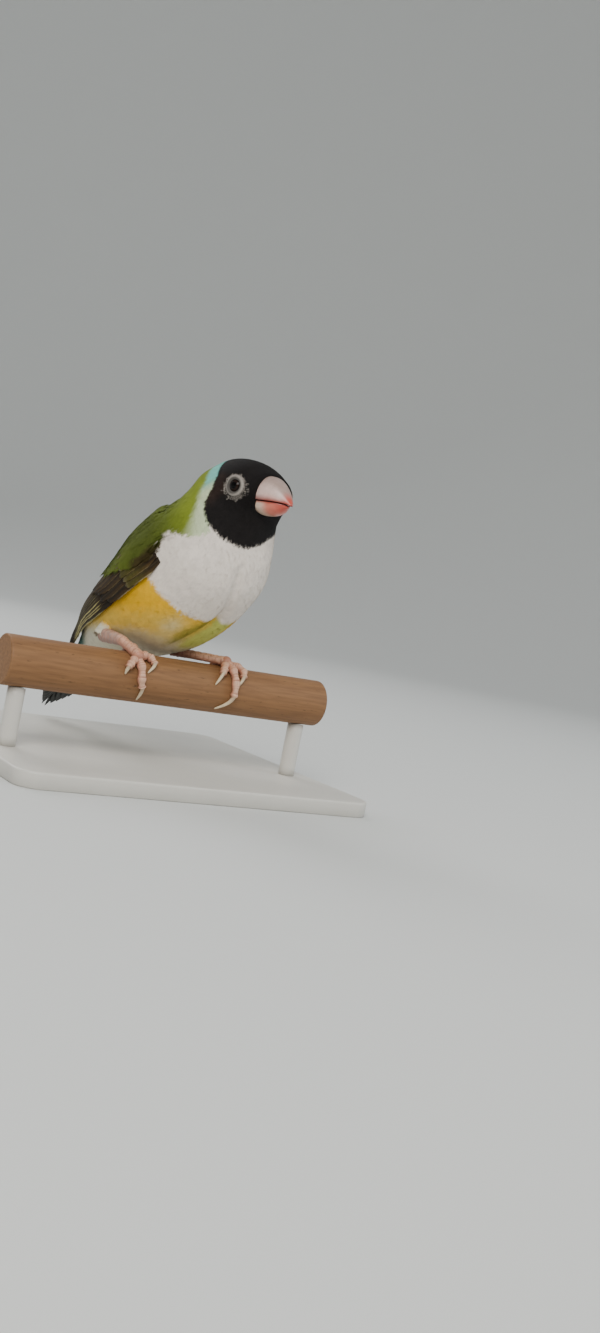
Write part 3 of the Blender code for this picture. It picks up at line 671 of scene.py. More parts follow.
def featherLength(section, degrees):
    signed = wrapped(degrees)
    turn = np.abs(signed)
    length = np.interp(section, coatSize["sections"], coatSize["length"])
    # Shorter at the markings' borders and round the eye, so that these stay crisp
    share, width = coatSize["maskShort"]
    length = length * (1 - share * hump(section - borderAt("mask", signed), width))
    share, width = coatSize["breastShort"]
    length = length * (1 - share * hump(section - borderAt("breast", turn), width) * smooth(96, 104, turn))
    share, width = coatSize["mantleShort"]
    shoulder = smooth(5.4, 6.0, section) * (1 - smooth(8.4, 8.8, section))
    length = length * (1 - share * hump(turn - borderAt("mantle", section), width) * shoulder)
    share, near, far = coatSize["eyeShort"]
    return length * (1 - share * (1 - smooth(near, far, eyeReach(section, degrees))))


def rootsWanted(section, degrees):
    along, around = metricAt(section, degrees)
    leaf = coatSize["leaf"] * coatSize["widthShare"] * featherLength(section, degrees) ** 2
    return along * around * coatSize["cover"] / leaf


def coatRoots():
    # Spread evenly by a fixed rule, then thinned to what each place wants.
    first, last = coatSize["first"], coatSize["last"]
    probeA, probeB = np.meshgrid(np.linspace(first, last, 150), np.linspace(-180, 178, 90), indexing="ij")
    probes = rootsWanted(probeA, probeB)
    total = probes.mean() * (last - first) * 360.0 * density
    index = np.arange(1, int(total * probes.max() / probes.mean()) + 1)
    ratio = 1.2207440846057596  # its powers give an even spread in three directions
    along, around, chance = ((0.5 + index / ratio ** (k + 1)) % 1.0 for k in range(3))
    section = first + (last - first) * along
    degrees = -180.0 + 360.0 * around
    wanted = rootsWanted(section, degrees)
    keep = chance < wanted / wanted.max()
    return section[keep], degrees[keep]


def covered(section, degrees, tipA, tipB):
    # Under the folded wing, on the eye, or reaching over it
    covert = tipA > borderAt("wing", np.abs(wrapped(degrees))) - 0.25
    underWing = (onWing(tipA, tipB, 2.0) > 0.5) & ~covert
    onEye = (eyeReach(section, degrees) < eye["rootClear"]) | (eyeReach(tipA, tipB) < eye["tipClear"])
    return underWing | onEye | (eyeReach((section + tipA) / 2, (degrees + tipB) / 2) < eye["middleClear"])


def growCoat(rng):
    section, degrees = coatRoots()
    count = len(section)
    along, around = metricAt(section, degrees)
    length = featherLength(section, degrees)
    apart = length * math.sqrt(coatSize["leaf"] * coatSize["widthShare"] / coatSize["cover"] / density)
    shift = rng.normal(0, coatSize["scatter"], count) * apart / along
    section = np.clip(section + shift, 0.02, coatSize["last"])
    degrees = degrees + rng.normal(0, coatSize["scatter"], count) * apart / around
    along, around = metricAt(section, degrees)
    length = length * rng.uniform(1 - coatSize["jitter"], 1 + coatSize["jitter"], count)
    tipA = np.maximum(section - length / along, -1.05)
    tipB = degrees + rng.uniform(-coatSize["sway"], coatSize["sway"], count) * length / around
    keep = ~covered(section, degrees, tipA, tipB)
    section, degrees, length, tipA, tipB = (values[keep] for values in (section, degrees, length, tipA, tipB))
    count = len(section)
    turn = np.abs(wrapped(degrees))
    green = 1 - smooth(-5, 1, turn - borderAt("mantle", section))
    nearBack = 1 - smooth(*coatSize["backSide"], turn)
    lift = coatSize["wingLift"] * green * (1 + coatSize["backLift"] * nearBack)
    low = skinOver(section) + coatSize["rootOver"] * np.where(section > 9, coatSize["headShare"], 1.0)
    low = low + lift * onWing(section, degrees)
    high = coatSize["tipOver"] + lift * onWing(tipA, tipB)
    high = high + rng.uniform(-coatSize["tipSpread"], coatSize["tipSpread"], count)
    least, most = coatSize["rise"]
    high = np.where(section > 9.5, np.minimum(high, 0.0), np.clip(high, low + least, low + most))
    half = length * coatSize["widthShare"] * rng.uniform(*coatSize["halfRange"], count)
    # The marking that a feather belongs to is read near its tip
    seenA = section + (tipA - section) * coatSize["seenAt"] + rng.normal(0, 0.02, count)
    seenB = degrees + (tipB - degrees) * coatSize["seenAt"] + rng.normal(0, 0.5, count)
    wide = 0.4 + 1.3 * beforeEye(section, degrees)
    fringe = 1 - smooth(eye["fleckReach"], eye["fleckReach"] + wide, eyeReach(section, degrees))
    fleck = 0.8 * (fringe > 0) * (rng.random(count) < 0.15 + 0.55 * fringe)
    return {
        "section": section, "degrees": degrees, "tipA": tipA, "tipB": tipB, "half": half,
        "low": low, "high": high, "seenA": seenA, "seenB": seenB, "fleck": fleck,
    }


def coatTracts(coat):
    signed = wrapped(coat["seenB"])
    turn = np.abs(signed)
    masked = borderAt("mask", signed) < coat["seenA"]
    mantle = turn < borderAt("mantle", coat["seenA"])
    breast = coat["seenA"] > borderAt("breast", turn)
    nape = coat["seenA"] > 7.6
    return {
        "coat_mask": (masked, "plumage_black", featherMask, fineFeather),
        "coat_nape": (~masked & nape & mantle, "plumage_green", featherSoft, middleFeather),
        "coat_back": (~masked & ~nape & mantle, "plumage_green", featherSoft, fullFeather),
        "coat_breast": (~masked & breast & ~mantle, "plumage_white", featherSoft, fullFeather),
        "coat_belly": (~masked & ~breast & ~mantle, "plumage_yellow", featherSoft, fullFeather),
    }


def buildCoat():
    rng = np.random.default_rng(5)
    coat = growCoat(rng)
    for name, (mine, slotName, material, template) in coatTracts(coat).items():
        pieces = max(1, math.ceil(mine.sum() * len(template[1]) / coatSize["perPiece"]))
        chosen = np.nonzero(mine)[0]
        chosen = chosen[np.argsort(coat["degrees"][chosen])]
        shading = (0.06, 0.3, 0.16) if name == "coat_mask" else (0.06, 0.03, 0.035)
        for number, part in enumerate(np.array_split(chosen, pieces)):
            own = {key: values[part] for key, values in coat.items()}
            points, faces, along, across, section, degrees = layFeathers(
                bodyPoint, (own["section"], own["degrees"]), (own["tipA"], own["tipB"]),
                own["half"], own["low"], own["high"], template, rng, ease=coatSize["ease"])
            # Each feather reads its colours a little off its place, so that no border is a clean line
            section = np.minimum(section, own["section"][:, None]) + rng.normal(0, 0.035, len(part))[:, None]
            base = markings(section, degrees + rng.normal(0, 0.8, len(part))[:, None])
            base = mix(base, paint["ring"], own["fleck"][:, None] * smooth(0.35, 0.8, along))
            label = name if pieces == 1 else f"{name}_{number + 1}"
            piece = makeMesh(label, points, faces, False)
            addColours(piece, shadeFeathers(base, along, rng, *shading))
            addBakeMap(piece, bakePatch(skinPlace(own["section"], own["degrees"]), along, across))
            finishPiece(piece, material, slotName)
            print(label, len(part), "feathers", len(faces[0]), "triangles")


fineFeather = softTemplate((0.0, 0.5, 0.95), (0.5, 0.8, 0.25), 3, 0.46, 0.1)
middleFeather = softTemplate((0.0, 0.3, 0.65, 0.95), (0.4, 0.8, 0.75, 0.2), 5, 0.4, 0.065)
fullFeather = softTemplate((0.0, 0.25, 0.5, 0.75, 0.96), (0.3, 0.7, 0.82, 0.66, 0.15), 8, 0.36, 0.05)
buildCoat()
print("coat built")

# Wings: first and last root, first and last tip (section, degrees), count, half width,
# height of root and tip, where along the vane its point begins, and the vane's rings.
wingTiers = {
    "primaries": (((4.3, 101.0), (4.0, 60.0)), ((-0.95, 81.0), (-0.35, 54.0)), 10, 2.4, 0.3, 2.2, 0.85, 21),
    "secondaries": (((5.5, 104.0), (4.8, 50.0)), ((3.75, 101.0), (2.3, 42.0)), 9, 1.9, 0.3, 1.25, 0.6, 21),
    "tertials": (((5.1, 56.0), (5.0, 40.0)), ((1.8, 44.0), (2.3, 31.0)), 3, 2.9, 0.3, 1.25, 0.6, 21),
    "coverts": (((6.2, 103.0), (5.8, 42.0)), ((4.75, 105.0), (4.1, 40.0)), 12, 1.7, -0.1, 1.3, 0.55, 15),
}
vaneLay = {"cup": 0.03, "thick": 0.045, "fray": 0.03, "ease": 1.6}  # how every vane is laid
wingLook = {
    "across": 11, "tilt": 0.13, "stack": 0.03,
    "bright": 4,  # primaries with a bright outer edge
    "tipShade": 0.4, "streak": 0.12, "streaks": 70, "shaftWide": 0.06,
    "paleEdge": rgb(178, 164, 122), "shaft": rgb(70, 56, 38),
}


def vaneColours(tier, count, along, outer, rng):
    order = np.arange(count)
    dark = mix(paint["wingBlack"], paint["brown"], rng.uniform(0.0, 0.35, count))[:, None, :]
    brown = mix(paint["brown"], paint["brownPale"], rng.uniform(0.05, 0.3, count))[:, None, :]
    if tier == "primaries":
        bright = np.where(order < wingLook["bright"], 1.0, 0.2)[:, None]
        rim = smooth(0.8, 0.87, outer) * (1 - smooth(0.62, 0.8, along)) * bright
        tipShade = (1 - wingLook["tipShade"] * smooth(0.55, 0.95, along))[..., None]
        return mix(mix(dark, brown, 0.4 * smooth(0.2, 0.6, outer)) * tipShade, paint["edge"], rim)
    tone = mix(dark, brown, smooth(0.15, 0.75, outer))
    pale = np.where(order == 0, 0.85, 0.22)[:, None] * smooth(0.84, 0.98, outer)
    if tier == "coverts":
        bronze = (paint["brownPale"] + paint["moss"]) / 2
        tone = mix(tone, bronze, 0.5 * smooth(0.2, 0.8, along))
        ends = np.where(order > 6, 0.25, 0.4) * (0.55 + 0.45 * np.sin(order * 2.4))
        pale = np.maximum(pale, smooth(0.86, 0.99, along) * ends[:, None])
    if tier == "tertials":
        tone = mix(tone, paint["mossDark"], 0.5 * smooth(0.3, 0.9, outer))
    return mix(tone, wingLook["paleEdge"], pale)


def vaneStrips(first, total, along, across, start, long):
    # Each vane has a strip of its own on the bake map.
    return stacked((first + 0.5 + 0.42 * across) / total, start + long * along)


def buildWing(name, side, seed):
    rng = np.random.default_rng(seed)
    parts, laid = [], 0
    for tier, (roots, tips, count, half, low, high, pointed, rings) in wingTiers.items():
        rootA, rootB = np.linspace(*roots, count).T
        tipA, tipB = np.linspace(*tips, count).T
        tipA = tipA + rng.uniform(-0.1, 0.1, count)
        tipB = tipB + rng.uniform(-0.8, 0.8, count)
        order = np.arange(count)
        half = half * rng.uniform(0.94, 1.06, count)
        stack = wingLook["stack"] * order
        template = vaneTemplate(rings, wingLook["across"], pointed)
        points, faces, along, across, _, _ = layFeathers(
            bodyPoint, (rootA, rootB * side), (tipA, tipB * side), half, low + stack * 0.5, high + stack,
            template, rng, tilt=wingLook["tilt"] * side, **vaneLay)
        tone = vaneColours(tier, count, along, across * side, rng)
        wave = np.sin(along * wingLook["streaks"] + np.abs(across) * 14 + rng.uniform(0, 6, (count, 1)))
        tone = tone * (1 + wingLook["streak"] * wave)[..., None]
        tone = mix(tone, wingLook["shaft"], 0.6 * hump(across, wingLook["shaftWide"]))
        places = vaneStrips(order[:, None] + laid, 34.0, along, across, 0.03, 0.9)
        parts.append((points, faces, tone, places))
        laid += count
    joinParts(name, parts, featherFlight, "plumage_brown", name)


buildWing("wing_left", 1, 21)
buildWing("wing_right", -1, 22)
print("wings built")

# Tail. Pairs from the middle out: length, the tip's place to the side, half width, drop below the first.
tailSize = {
    "root": (-43.0, 4.0), "slope": -133.5, "rings": 21, "across": 9, "pointed": 0.6,
    "rootSide": 0.6, "uneven": 0.4, "narrow": 0.55, "ridge": 0.1, "tilt": 0.05, "thick": 0.1, "stack": 0.04,
    "pairs": (
        (28.6, 0.7, 1.4, 0.0), (26.6, 1.6, 1.8, 0.4), (25.0, 2.5, 1.9, 0.75),
        (23.2, 3.4, 1.85, 1.1), (21.4, 4.4, 1.75, 1.4), (19.6, 5.3, 1.6, 1.7),
    ),
}


def buildTail():
    slope = math.radians(tailSize["slope"])
    back = np.array((math.cos(slope), math.sin(slope)))
    above = np.array((back[1], -back[0]))
    template, faces = vaneTemplate(tailSize["rings"], tailSize["across"], tailSize["pointed"])
    t, w, layer = template[:, 0], template[:, 1], template[:, 2]
    tone = mix(paint["tail"], paint["teal"] * 0.6, 0.35 * (1 - smooth(0.15, 0.5, t)))
    tone = mix(tone, paint["brownPale"] * 0.6, 0.1 * smooth(0.8, 1.0, np.abs(w)))
    parts = []
    for number, (length, offset, half, drop) in enumerate(tailSize["pairs"]):
        for side in (1, -1):
            long = length + tailSize["uneven"] * side
            narrow = 1 - tailSize["narrow"] * t**3 if number == 0 else 1.0
            lift = tailSize["ridge"] * (1 - np.abs(w)) - tailSize["tilt"] * w * side
            lift = lift + layer * tailSize["thick"] - drop * (0.5 + 0.5 * t) - tailSize["stack"] * number
            spot = np.array(tailSize["root"]) + back * (long * t)[:, None] + above * lift[:, None]
            middle = side * (tailSize["rootSide"] + (offset - tailSize["rootSide"]) * t)
            points = bodyToWorld(spot[:, 0], pose["bodySide"] + middle + w * half * narrow, spot[:, 1])
            places = vaneStrips(number * 2 + (side > 0), 12.0, t, w, 0.05, 0.9)
            parts.append((points, [faces], tone, places))
    joinParts("tail", parts, featherTail, "plumage_black", "tail")


buildTail()
print("tail built")

# Bill: ahead, half width, upper and lower height of each half, from the face to the tip.
billSize = {
    "base": 7.3, "lean": 0.04, "rings": 28, "sides": 48, "crowd": 1.3,
    "upper": (
        (0.0, 4.8, 6.0, -0.45), (1.5, 4.5, 5.75, -0.4), (3.1, 3.85, 5.0, -0.35), (4.8, 3.0, 3.8, -0.3),
        (6.3, 2.1, 2.4, -0.3), (7.6, 1.2, 0.9, -0.4), (8.5, 0.4, -0.25, -0.75),
    ),
    "lower": (
        (0.0, 4.4, -0.8, -3.8), (1.5, 4.0, -0.75, -3.75), (3.1, 3.4, -0.7, -3.5), (4.6, 2.7, -0.65, -3.05),
        (5.8, 1.9, -0.65, -2.4), (6.8, 1.05, -0.75, -1.65), (7.4, 0.4, -0.95, -1.4),
    ),
    "nostril": (8.6, 2.8, 3.6), "heart": (8.8, 0.0, 2.0), "nostrilSize": 0.55, "nostrilShadeSize": 0.42,
    "nostrilDeep": 0.45,
    "pearl": rgb(150, 128, 118), "pink": rgb(208, 180, 172), "red": rgb(188, 74, 58),
    "coral": rgb(204, 110, 90), "cream": rgb(206, 180, 160), "deep": rgb(132, 42, 36),
}


def upperBillColour(t, rise):
    tone = mix(billSize["pink"], billSize["pearl"], smooth(0.4, 0.95, rise) * (1 - 0.3 * t))
    tone = mix(tone, billSize["coral"], (1 - smooth(0.05, 0.3, rise)) * smooth(0.05, 0.5, t))
    tone = mix(tone, billSize["red"], smooth(0.68, 0.95, t))
    # The red cutting edge, darker along the mouth line as painted shade in the crease between the halves
    return mix(tone, billSize["deep"], 0.8 * (1 - smooth(0.0, 0.08, rise)))


def lowerBillColour(t, rise):
    tone = mix(billSize["cream"], billSize["coral"], smooth(0.15, 0.5, t))
    tone = mix(tone, billSize["red"], smooth(0.5, 0.9, t) + 0.4 * smooth(0.8, 1.0, rise))
    # The red cutting edge, darker along the mouth line as painted shade in the crease between the halves
    return mix(tone, billSize["deep"], 0.7 * smooth(0.93, 1.0, rise))


def buildBill(name, upward):
    table = np.array(billSize["upper" if upward else "lower"])
    rings, sides = billSize["rings"], billSize["sides"]
    place = (1 - (1 - np.linspace(0, 1, rings)) ** billSize["crowd"]) * (len(table) - 1)
    ahead, half, high, low = (column[:, None] for column in blendRows(table, place).T)
    angle = fullTurn(sides)[None, :]
    across = half * np.sign(np.sin(angle)) * np.abs(np.sin(angle)) ** 0.9
    cosine = np.cos(angle) if upward else -np.cos(angle)
    bulge = (high - low) * np.maximum(0.0, cosine) ** 0.75 + 0.1 * np.minimum(0, cosine)
    up = low + bulge if upward else high - bulge
    base = billSize["base"] + billSize["lean"] * up * (1 - ahead / 9.0)
    spots = headToWorld(base + ahead, across, up)
    t = ahead / table[-1][0] + 0 * angle
    rise = (up - low) / np.maximum(high - low, 0.2)
    tone = upperBillColour(t, rise) if upward else lowerBillColour(t, rise)
    if upward:
        nostrils = [headToWorld(*(np.array(billSize["nostril"]) * (1, side, 1))) for side in (1, -1)]
        heart = headToWorld(*billSize["heart"])
        for nostril in nostrils:
            hollow = np.exp(-((distance(spots - nostril) / billSize["nostrilSize"]) ** 4))
            spots = spots + unit(heart - spots) * (billSize["nostrilDeep"] * hollow)[..., None]
        # Painted shade: each nostril's hollow darkened to the mask's warm black
        for nostril in nostrils:
            dark = np.exp(-((distance(spots - nostril) / billSize["nostrilShadeSize"]) ** 4))
            tone = mix(tone, paint["maskWarm"], 0.9 * dark)
    parts = [(spots, tubeFaces(rings, sides), np.clip(tone, 0, 1))]
    joinParts(name, parts, hornPink, "horn_pink" if upward else "horn_red", name)


buildBill("bill_upper", True)
buildBill("bill_lower", False)
print("bill built")


# Eyes: a ball with a faint brown iris, in a ring of small pale scales.
def buildEye(word, side):
    cosine, sine = math.cos(math.radians(eye["turn"])), math.sin(math.radians(eye["turn"]))
    ahead, out = headAhead * cosine - headLeft * side * sine, headLeft * side * cosine + headAhead * sine
    up = np.array((0.0, 0.0, 1.0))
    inset = eye["leftIn"] if side > 0 else 0.0
    ringCentre = headToWorld(eye["ahead"], eye["side"] * side - inset, eye["up"])
    rows, sides = 33, 48
    polar = np.linspace(0.02, math.pi - 0.02, rows)[:, None, None]
    turn = fullTurn(sides)[None, :, None]
    ring = (ahead * np.cos(turn) + up * np.sin(turn)) * np.sin(polar)
    spots = ringCentre - out * eye["depth"] + eye["radius"] * (out * np.cos(polar) + ring)
    reach = (np.sin(polar) * eye["radius"] + 0 * turn)[..., 0]
    tone = mix(rgb(8, 7, 7), rgb(34, 22, 16), smooth(0.8, 1.0, reach) * (1 - smooth(1.25, 1.5, reach)))
    joinParts("eye_" + word, [(spots, tubeFaces(rows, sides), tone)], eyeDark, "eye_dark", "eye_" + word)
    around, tubeSides = 160, 18
    a, b = fullTurn(around)[:, None], fullTurn(tubeSides)[None, :]
    bead = 0.88 + 0.12 * np.abs(np.cos(a * eye["beads"])) ** 0.5
    inner = 0.93 + 0.07 * np.abs(np.sin(a * 8)) ** 0.5
    tube = eye["ringTube"] * np.where(np.cos(b) > 0, bead, inner)
    radius = eye["ringRadius"] + 1.15 * tube * np.cos(b)
    lift = tube * np.sin(b) - 0.05 * np.cos(2 * a)
    spots = (ahead * np.cos(a)[..., None] + up * np.sin(a)[..., None]) * radius[..., None]
    spots = ringCentre + spots + out * lift[..., None]
    i, j = np.meshgrid(np.arange(around), np.arange(tubeSides), indexing="ij")
    nextI, nextJ = (i + 1) % around, (j + 1) % tubeSides
    corners = [row * tubeSides + spot for row, spot in ((i, j), (i, nextJ), (nextI, nextJ), (nextI, j))]
    shade = np.clip(0.55 + 1.5 * (tube / eye["ringTube"] - 0.8), 0.4, 1.1)
    shade = shade * (0.3 + 0.7 * smooth(-0.15, 0.45, np.cos(b)))
    tone = paint["ring"] * shade[..., None]
    faces = [stacked(*corners).reshape(-1, 4)]
    joinParts("eyelid_" + word, [(spots, faces, tone)], skinFlesh, "flesh_pink")


buildEye("left", 1)
buildEye("right", -1)
print("eyes built")

# Legs and feet. Toes and balls are places on the perch: X and the angle up its front.
legSize = {
    "rightAnkle": (-15.5, 9.8, 10.4), "leftAnkle": (2.2, 8.4, 7.6),
    "rightTuck": (0.7, 4.6, -1.3), "leftTuck": (0.0, 0.0, 0.0),  # how the top bends into the feathers
    "rightShank": (1.4, 1.45, 1.95), "leftShank": (1.25, 1.12, 1.25),  # radius at foot, waist and top
    "rightBall": (-12.9, 50.0), "leftBall": (14.4, 78.0), "ball": 1.5, "bow": (0.0, -0.35, 0.15),
    "rightToes": (
        ((-12.9, 50.0), (-14.7, 34.0), (-15.8, 22.0), (-16.2, 10.0)),
        ((-12.9, 50.0), (-12.1, 26.0), (-11.7, -2.0), (-10.9, -20.0), (-10.7, -52.0)),
        ((-12.9, 50.0), (-9.8, 56.0), (-8.3, 38.0), (-9.9, 19.0)),
        ((-12.9, 56.0), (-12.5, 98.0), (-12.3, 140.0), (-12.5, 180.0)),
    ),
    "leftToes": (
        ((14.4, 78.0), (12.9, 55.0), (11.8, 38.0), (9.9, 15.0)),
        ((14.4, 78.0), (15.4, 48.0), (15.6, 14.0), (15.0, -16.0), (11.9, -46.0)),
        ((14.4, 78.0), (18.3, 59.0), (18.2, 38.0), (16.7, 17.0)),
        ((14.4, 78.0), (14.3, 113.0), (14.1, 150.0), (14.2, 188.0)),
    ),
    "clawShares": (0.62, 0.66, 0.66, 0.68),  # where along each toe its claw begins
    "toe": 1.12, "claw": 0.5, "clawTip": 0.12, "joint": 0.16, "toeScutes": 11, "shankScutes": 9,
    "pink": rgb(198, 142, 118), "pinkPale": rgb(220, 180, 152), "pinkDeep": rgb(142, 80, 62),
    "shade": rgb(104, 56, 42), "horn": rgb(214, 196, 164), "ankleGrey": rgb(168, 144, 134),
}


def onPerch(place, over):
    angle = np.radians(place[..., 1])
    reach = perchSize["radius"] + gap * 0.35 + over
    return stacked(place[..., 0], -reach * np.cos(angle), reach * np.sin(angle))


def restOnPerch(spots):
    # Soft toes flatten where they press on the wood
    reach = np.hypot(spots[..., 1], spots[..., 2])
    push = np.maximum(1.0, (perchSize["radius"] + 0.03) / reach)
    return spots * stacked(1.0, push, push)


def limbTube(centres, outward, radii):
    along = unit(np.gradient(centres, axis=0))
    lift = unit(outward - along * (outward * along).sum(-1, keepdims=True))
    turn = fullTurn(radii.shape[1])[None, :, None]
    ring = lift[:, None, :] * np.cos(turn) + np.cross(along, lift)[:, None, :] * np.sin(turn)
    return centres[:, None, :] + ring * radii[..., None]


def tubePart(spots, tone):
    return spots, tubeFaces(*spots.shape[:2]), tone


def fromPerch(centres):
    return centres * (0.0, 1.0, 1.0)


def buildToe(keys, clawShare):
    turn = fullTurn(16)[None, :]
    top, under = np.clip(np.cos(turn), 0, 1), np.clip(-np.cos(turn), 0, 1)
    place = np.linspace(0, clawShare + 0.02, 110)
    t = (place / clawShare)[:, None]
    base = legSize["toe"] * (1 - 0.2 * t)
    joints = legSize["joint"] * np.cos(t * 2 * math.pi * 3)
    scute = (t * legSize["toeScutes"] + 0.3 * np.sin(place * 37)[:, None]) % 1.0
    pads = legSize["joint"] * under * np.cos(t * 2 * math.pi * 4)
    radii = base * (1 + joints + top * 0.11 * (1 - scute**2) + pads)
    radii = radii * np.clip((clawShare + 0.035 - place) / 0.06, 0.3, 1.0)[:, None] ** 0.5
    centres = onPerch(blendRows(keys, place * (len(keys) - 1)), base[:, 0] * 0.98)
    spots = restOnPerch(limbTube(centres, fromPerch(centres), radii))
    # Painted light and shade: each toe lighter on top, darker on its sides and underside, with painted shade
    # in the groove behind each scute
    tone = mix(legSize["pink"], legSize["pinkPale"], top * (0.4 + 0.5 * smooth(0.1, 0.6, place))[:, None])
    deep = smooth(0.7, 1.0, scute) * 0.8 * top + 0.35 * under + 0.35 * (1 - top - under)
    tone = mix(tone, legSize["pinkDeep"], np.clip(deep, 0, 1))
    return tubePart(spots, tone)


def buildClaw(keys, clawShare):
    turn = fullTurn(16)[None, :]
    place = np.linspace(clawShare - 0.03, 1.0, 26)
    share = (place - place[0]) / (1 - place[0])
    radius = legSize["claw"] * (1 - share) ** 0.7 + legSize["clawTip"] * share
    toeEnd = legSize["toe"] * (1 - 0.2 * (clawShare + 0.02) / clawShare)
    centres = onPerch(blendRows(keys, place * (len(keys) - 1)), (toeEnd * (1 - share) ** 2 + radius) * 0.9)
    spots = limbTube(centres, fromPerch(centres), radius[:, None] * (1 + 0.25 * np.abs(np.cos(turn))))
    pink = 0.35 * (1 - smooth(0.0, 0.5, share))[:, None] + 0 * turn
    return tubePart(spots, mix(legSize["horn"], legSize["pinkDeep"], pink))


def buildFoot(word, centre):
    keys = [np.array(places) for places in legSize[word + "Toes"]]
    toes = [buildToe(key, share) for key, share in zip(keys, legSize["clawShares"])]
    claws = [buildClaw(key, share) for key, share in zip(keys, legSize["clawShares"])]
    polar, turn = np.linspace(0.05, math.pi - 0.05, 20)[:, None], fullTurn(24)[None, :]
    ball = stacked(np.sin(polar) * np.cos(turn), np.sin(polar) * np.sin(turn), np.cos(polar))
    tone = mix(legSize["pink"], legSize["pinkDeep"], 0.3 + 0 * ball[..., 0])
    toes.append(tubePart(restOnPerch(centre + legSize["ball"] * ball), tone))
    joinParts("foot_" + word, toes, fleshPink, "flesh_pink", "foot_" + word)
    joinParts("claws_" + word, claws, clawHorn, "horn_pink")


def buildShank(word, centre):
    foot, waist, top = legSize[word + "Shank"]
    t = np.linspace(0.0, 1.0, 90)[:, None]
    around = fullTurn(24)[None, :]
    front = np.clip(np.cos(around), 0, 1) ** 0.6
    # Scales step down the front in two rows, set half a scale apart
    number = t * legSize["shankScutes"] + 0.5 * smooth(-0.12, 0.12, np.sin(around)) + 0.12 * np.sin(t * 31)
    scute = number % 1.0
    radius = foot * (1 - t) + top * t - (top - waist) * 0.8 * np.sin(math.pi * t)
    bumps = front * 0.1 * (1 - scute**2) - 0.07 * hump(np.sin(around), 0.1) * front
    bumps = bumps + 0.04 * np.cos(around * 2) + 0.03 * np.cos(around * 5 + 3 * np.sin(t * 21))
    wrinkle = np.sin(t * 75 + 2 * np.sin(around * 2)) * np.sin(around * 4 + t * 30)
    radii = radius * (1 + bumps) * (1 + 0.05 * wrinkle * smooth(0.55, 0.75, t))
    centres = centre + (np.array(legSize[word + "Ankle"]) - centre) * (t * 0.98 - 0.02)
    centres = centres + np.array(legSize["bow"]) * np.sin(math.pi * t)
    centres = centres + np.array(legSize[word + "Tuck"]) * smooth(0.55, 1.0, t)
    spots = restOnPerch(limbTube(centres, np.tile((0.0, -1.0, 0.6), (len(t), 1)), radii))
    # Painted light and shade: the front lighter, the sides and back darker, and painted shade in the grooves
    # between the front scales
    tone = mix(legSize["pink"], legSize["pinkPale"], 0.5 * front + 0 * t)
    tone = mix(tone, legSize["pinkDeep"], smooth(0.75, 1.0, scute) * 0.75 * front + 0.25 * (1 - front))
    tone = tone * (1 + 0.12 * np.sin(np.floor(number) * 12.9))[..., None]
    if word == "right":
        tone = mix(tone, legSize["ankleGrey"], smooth(0.5, 0.7, t) * (0.6 + 0.3 * wrinkle))
    shadow = 0.2 * smooth(0.6, 1.0, t) if word == "right" else 0.8 * smooth(0.35, 0.9, t)
    tone = mix(tone, legSize["shade"], shadow + 0 * around)
    joinParts("shank_" + word, [tubePart(spots, tone)], fleshPink, "flesh_pink", "shank_" + word)


for word in ("right", "left"):
    ball = onPerch(np.array(legSize[word + "Ball"]), legSize["ball"])
    buildFoot(word, ball)
    buildShank(word, ball)
print("legs built")

# The feathered thigh: a cone of feathers from the flank down to the right ankle.
thighSize = {
    "ankle": (-14.9, 14.0, 9.4), "knee": (-11.5, 14.4, 15.0), "top": 2.4, "foot": 2.15,
    "rings": 14, "sides": 28, "skinOver": -0.6,
    "feathers": 700, "length": 2.6 / 9.3, "half": 0.55, "rootOver": -0.55,
    "evenSteps": (0.7548776662466927, 0.5698402909980532),  # spread the roots without clumps
}


def thighPoint(place, degrees, over):
    ankle, knee = np.array(thighSize["ankle"]), np.array(thighSize["knee"])
    along = unit(knee - ankle)
    first = unit(np.cross(along, (1.0, 0.0, 0.0)))
    second = np.cross(along, first)
    angle = np.radians(degrees)[..., None]
    swell = np.sin(np.clip(place, 0, 1) * math.pi / 2)
    radius = thighSize["foot"] + (thighSize["top"] - thighSize["foot"]) * swell + over
    ring = first * np.cos(angle) + second * np.sin(angle)
    return ankle + (knee - ankle) * place[..., None] + ring * radius[..., None]


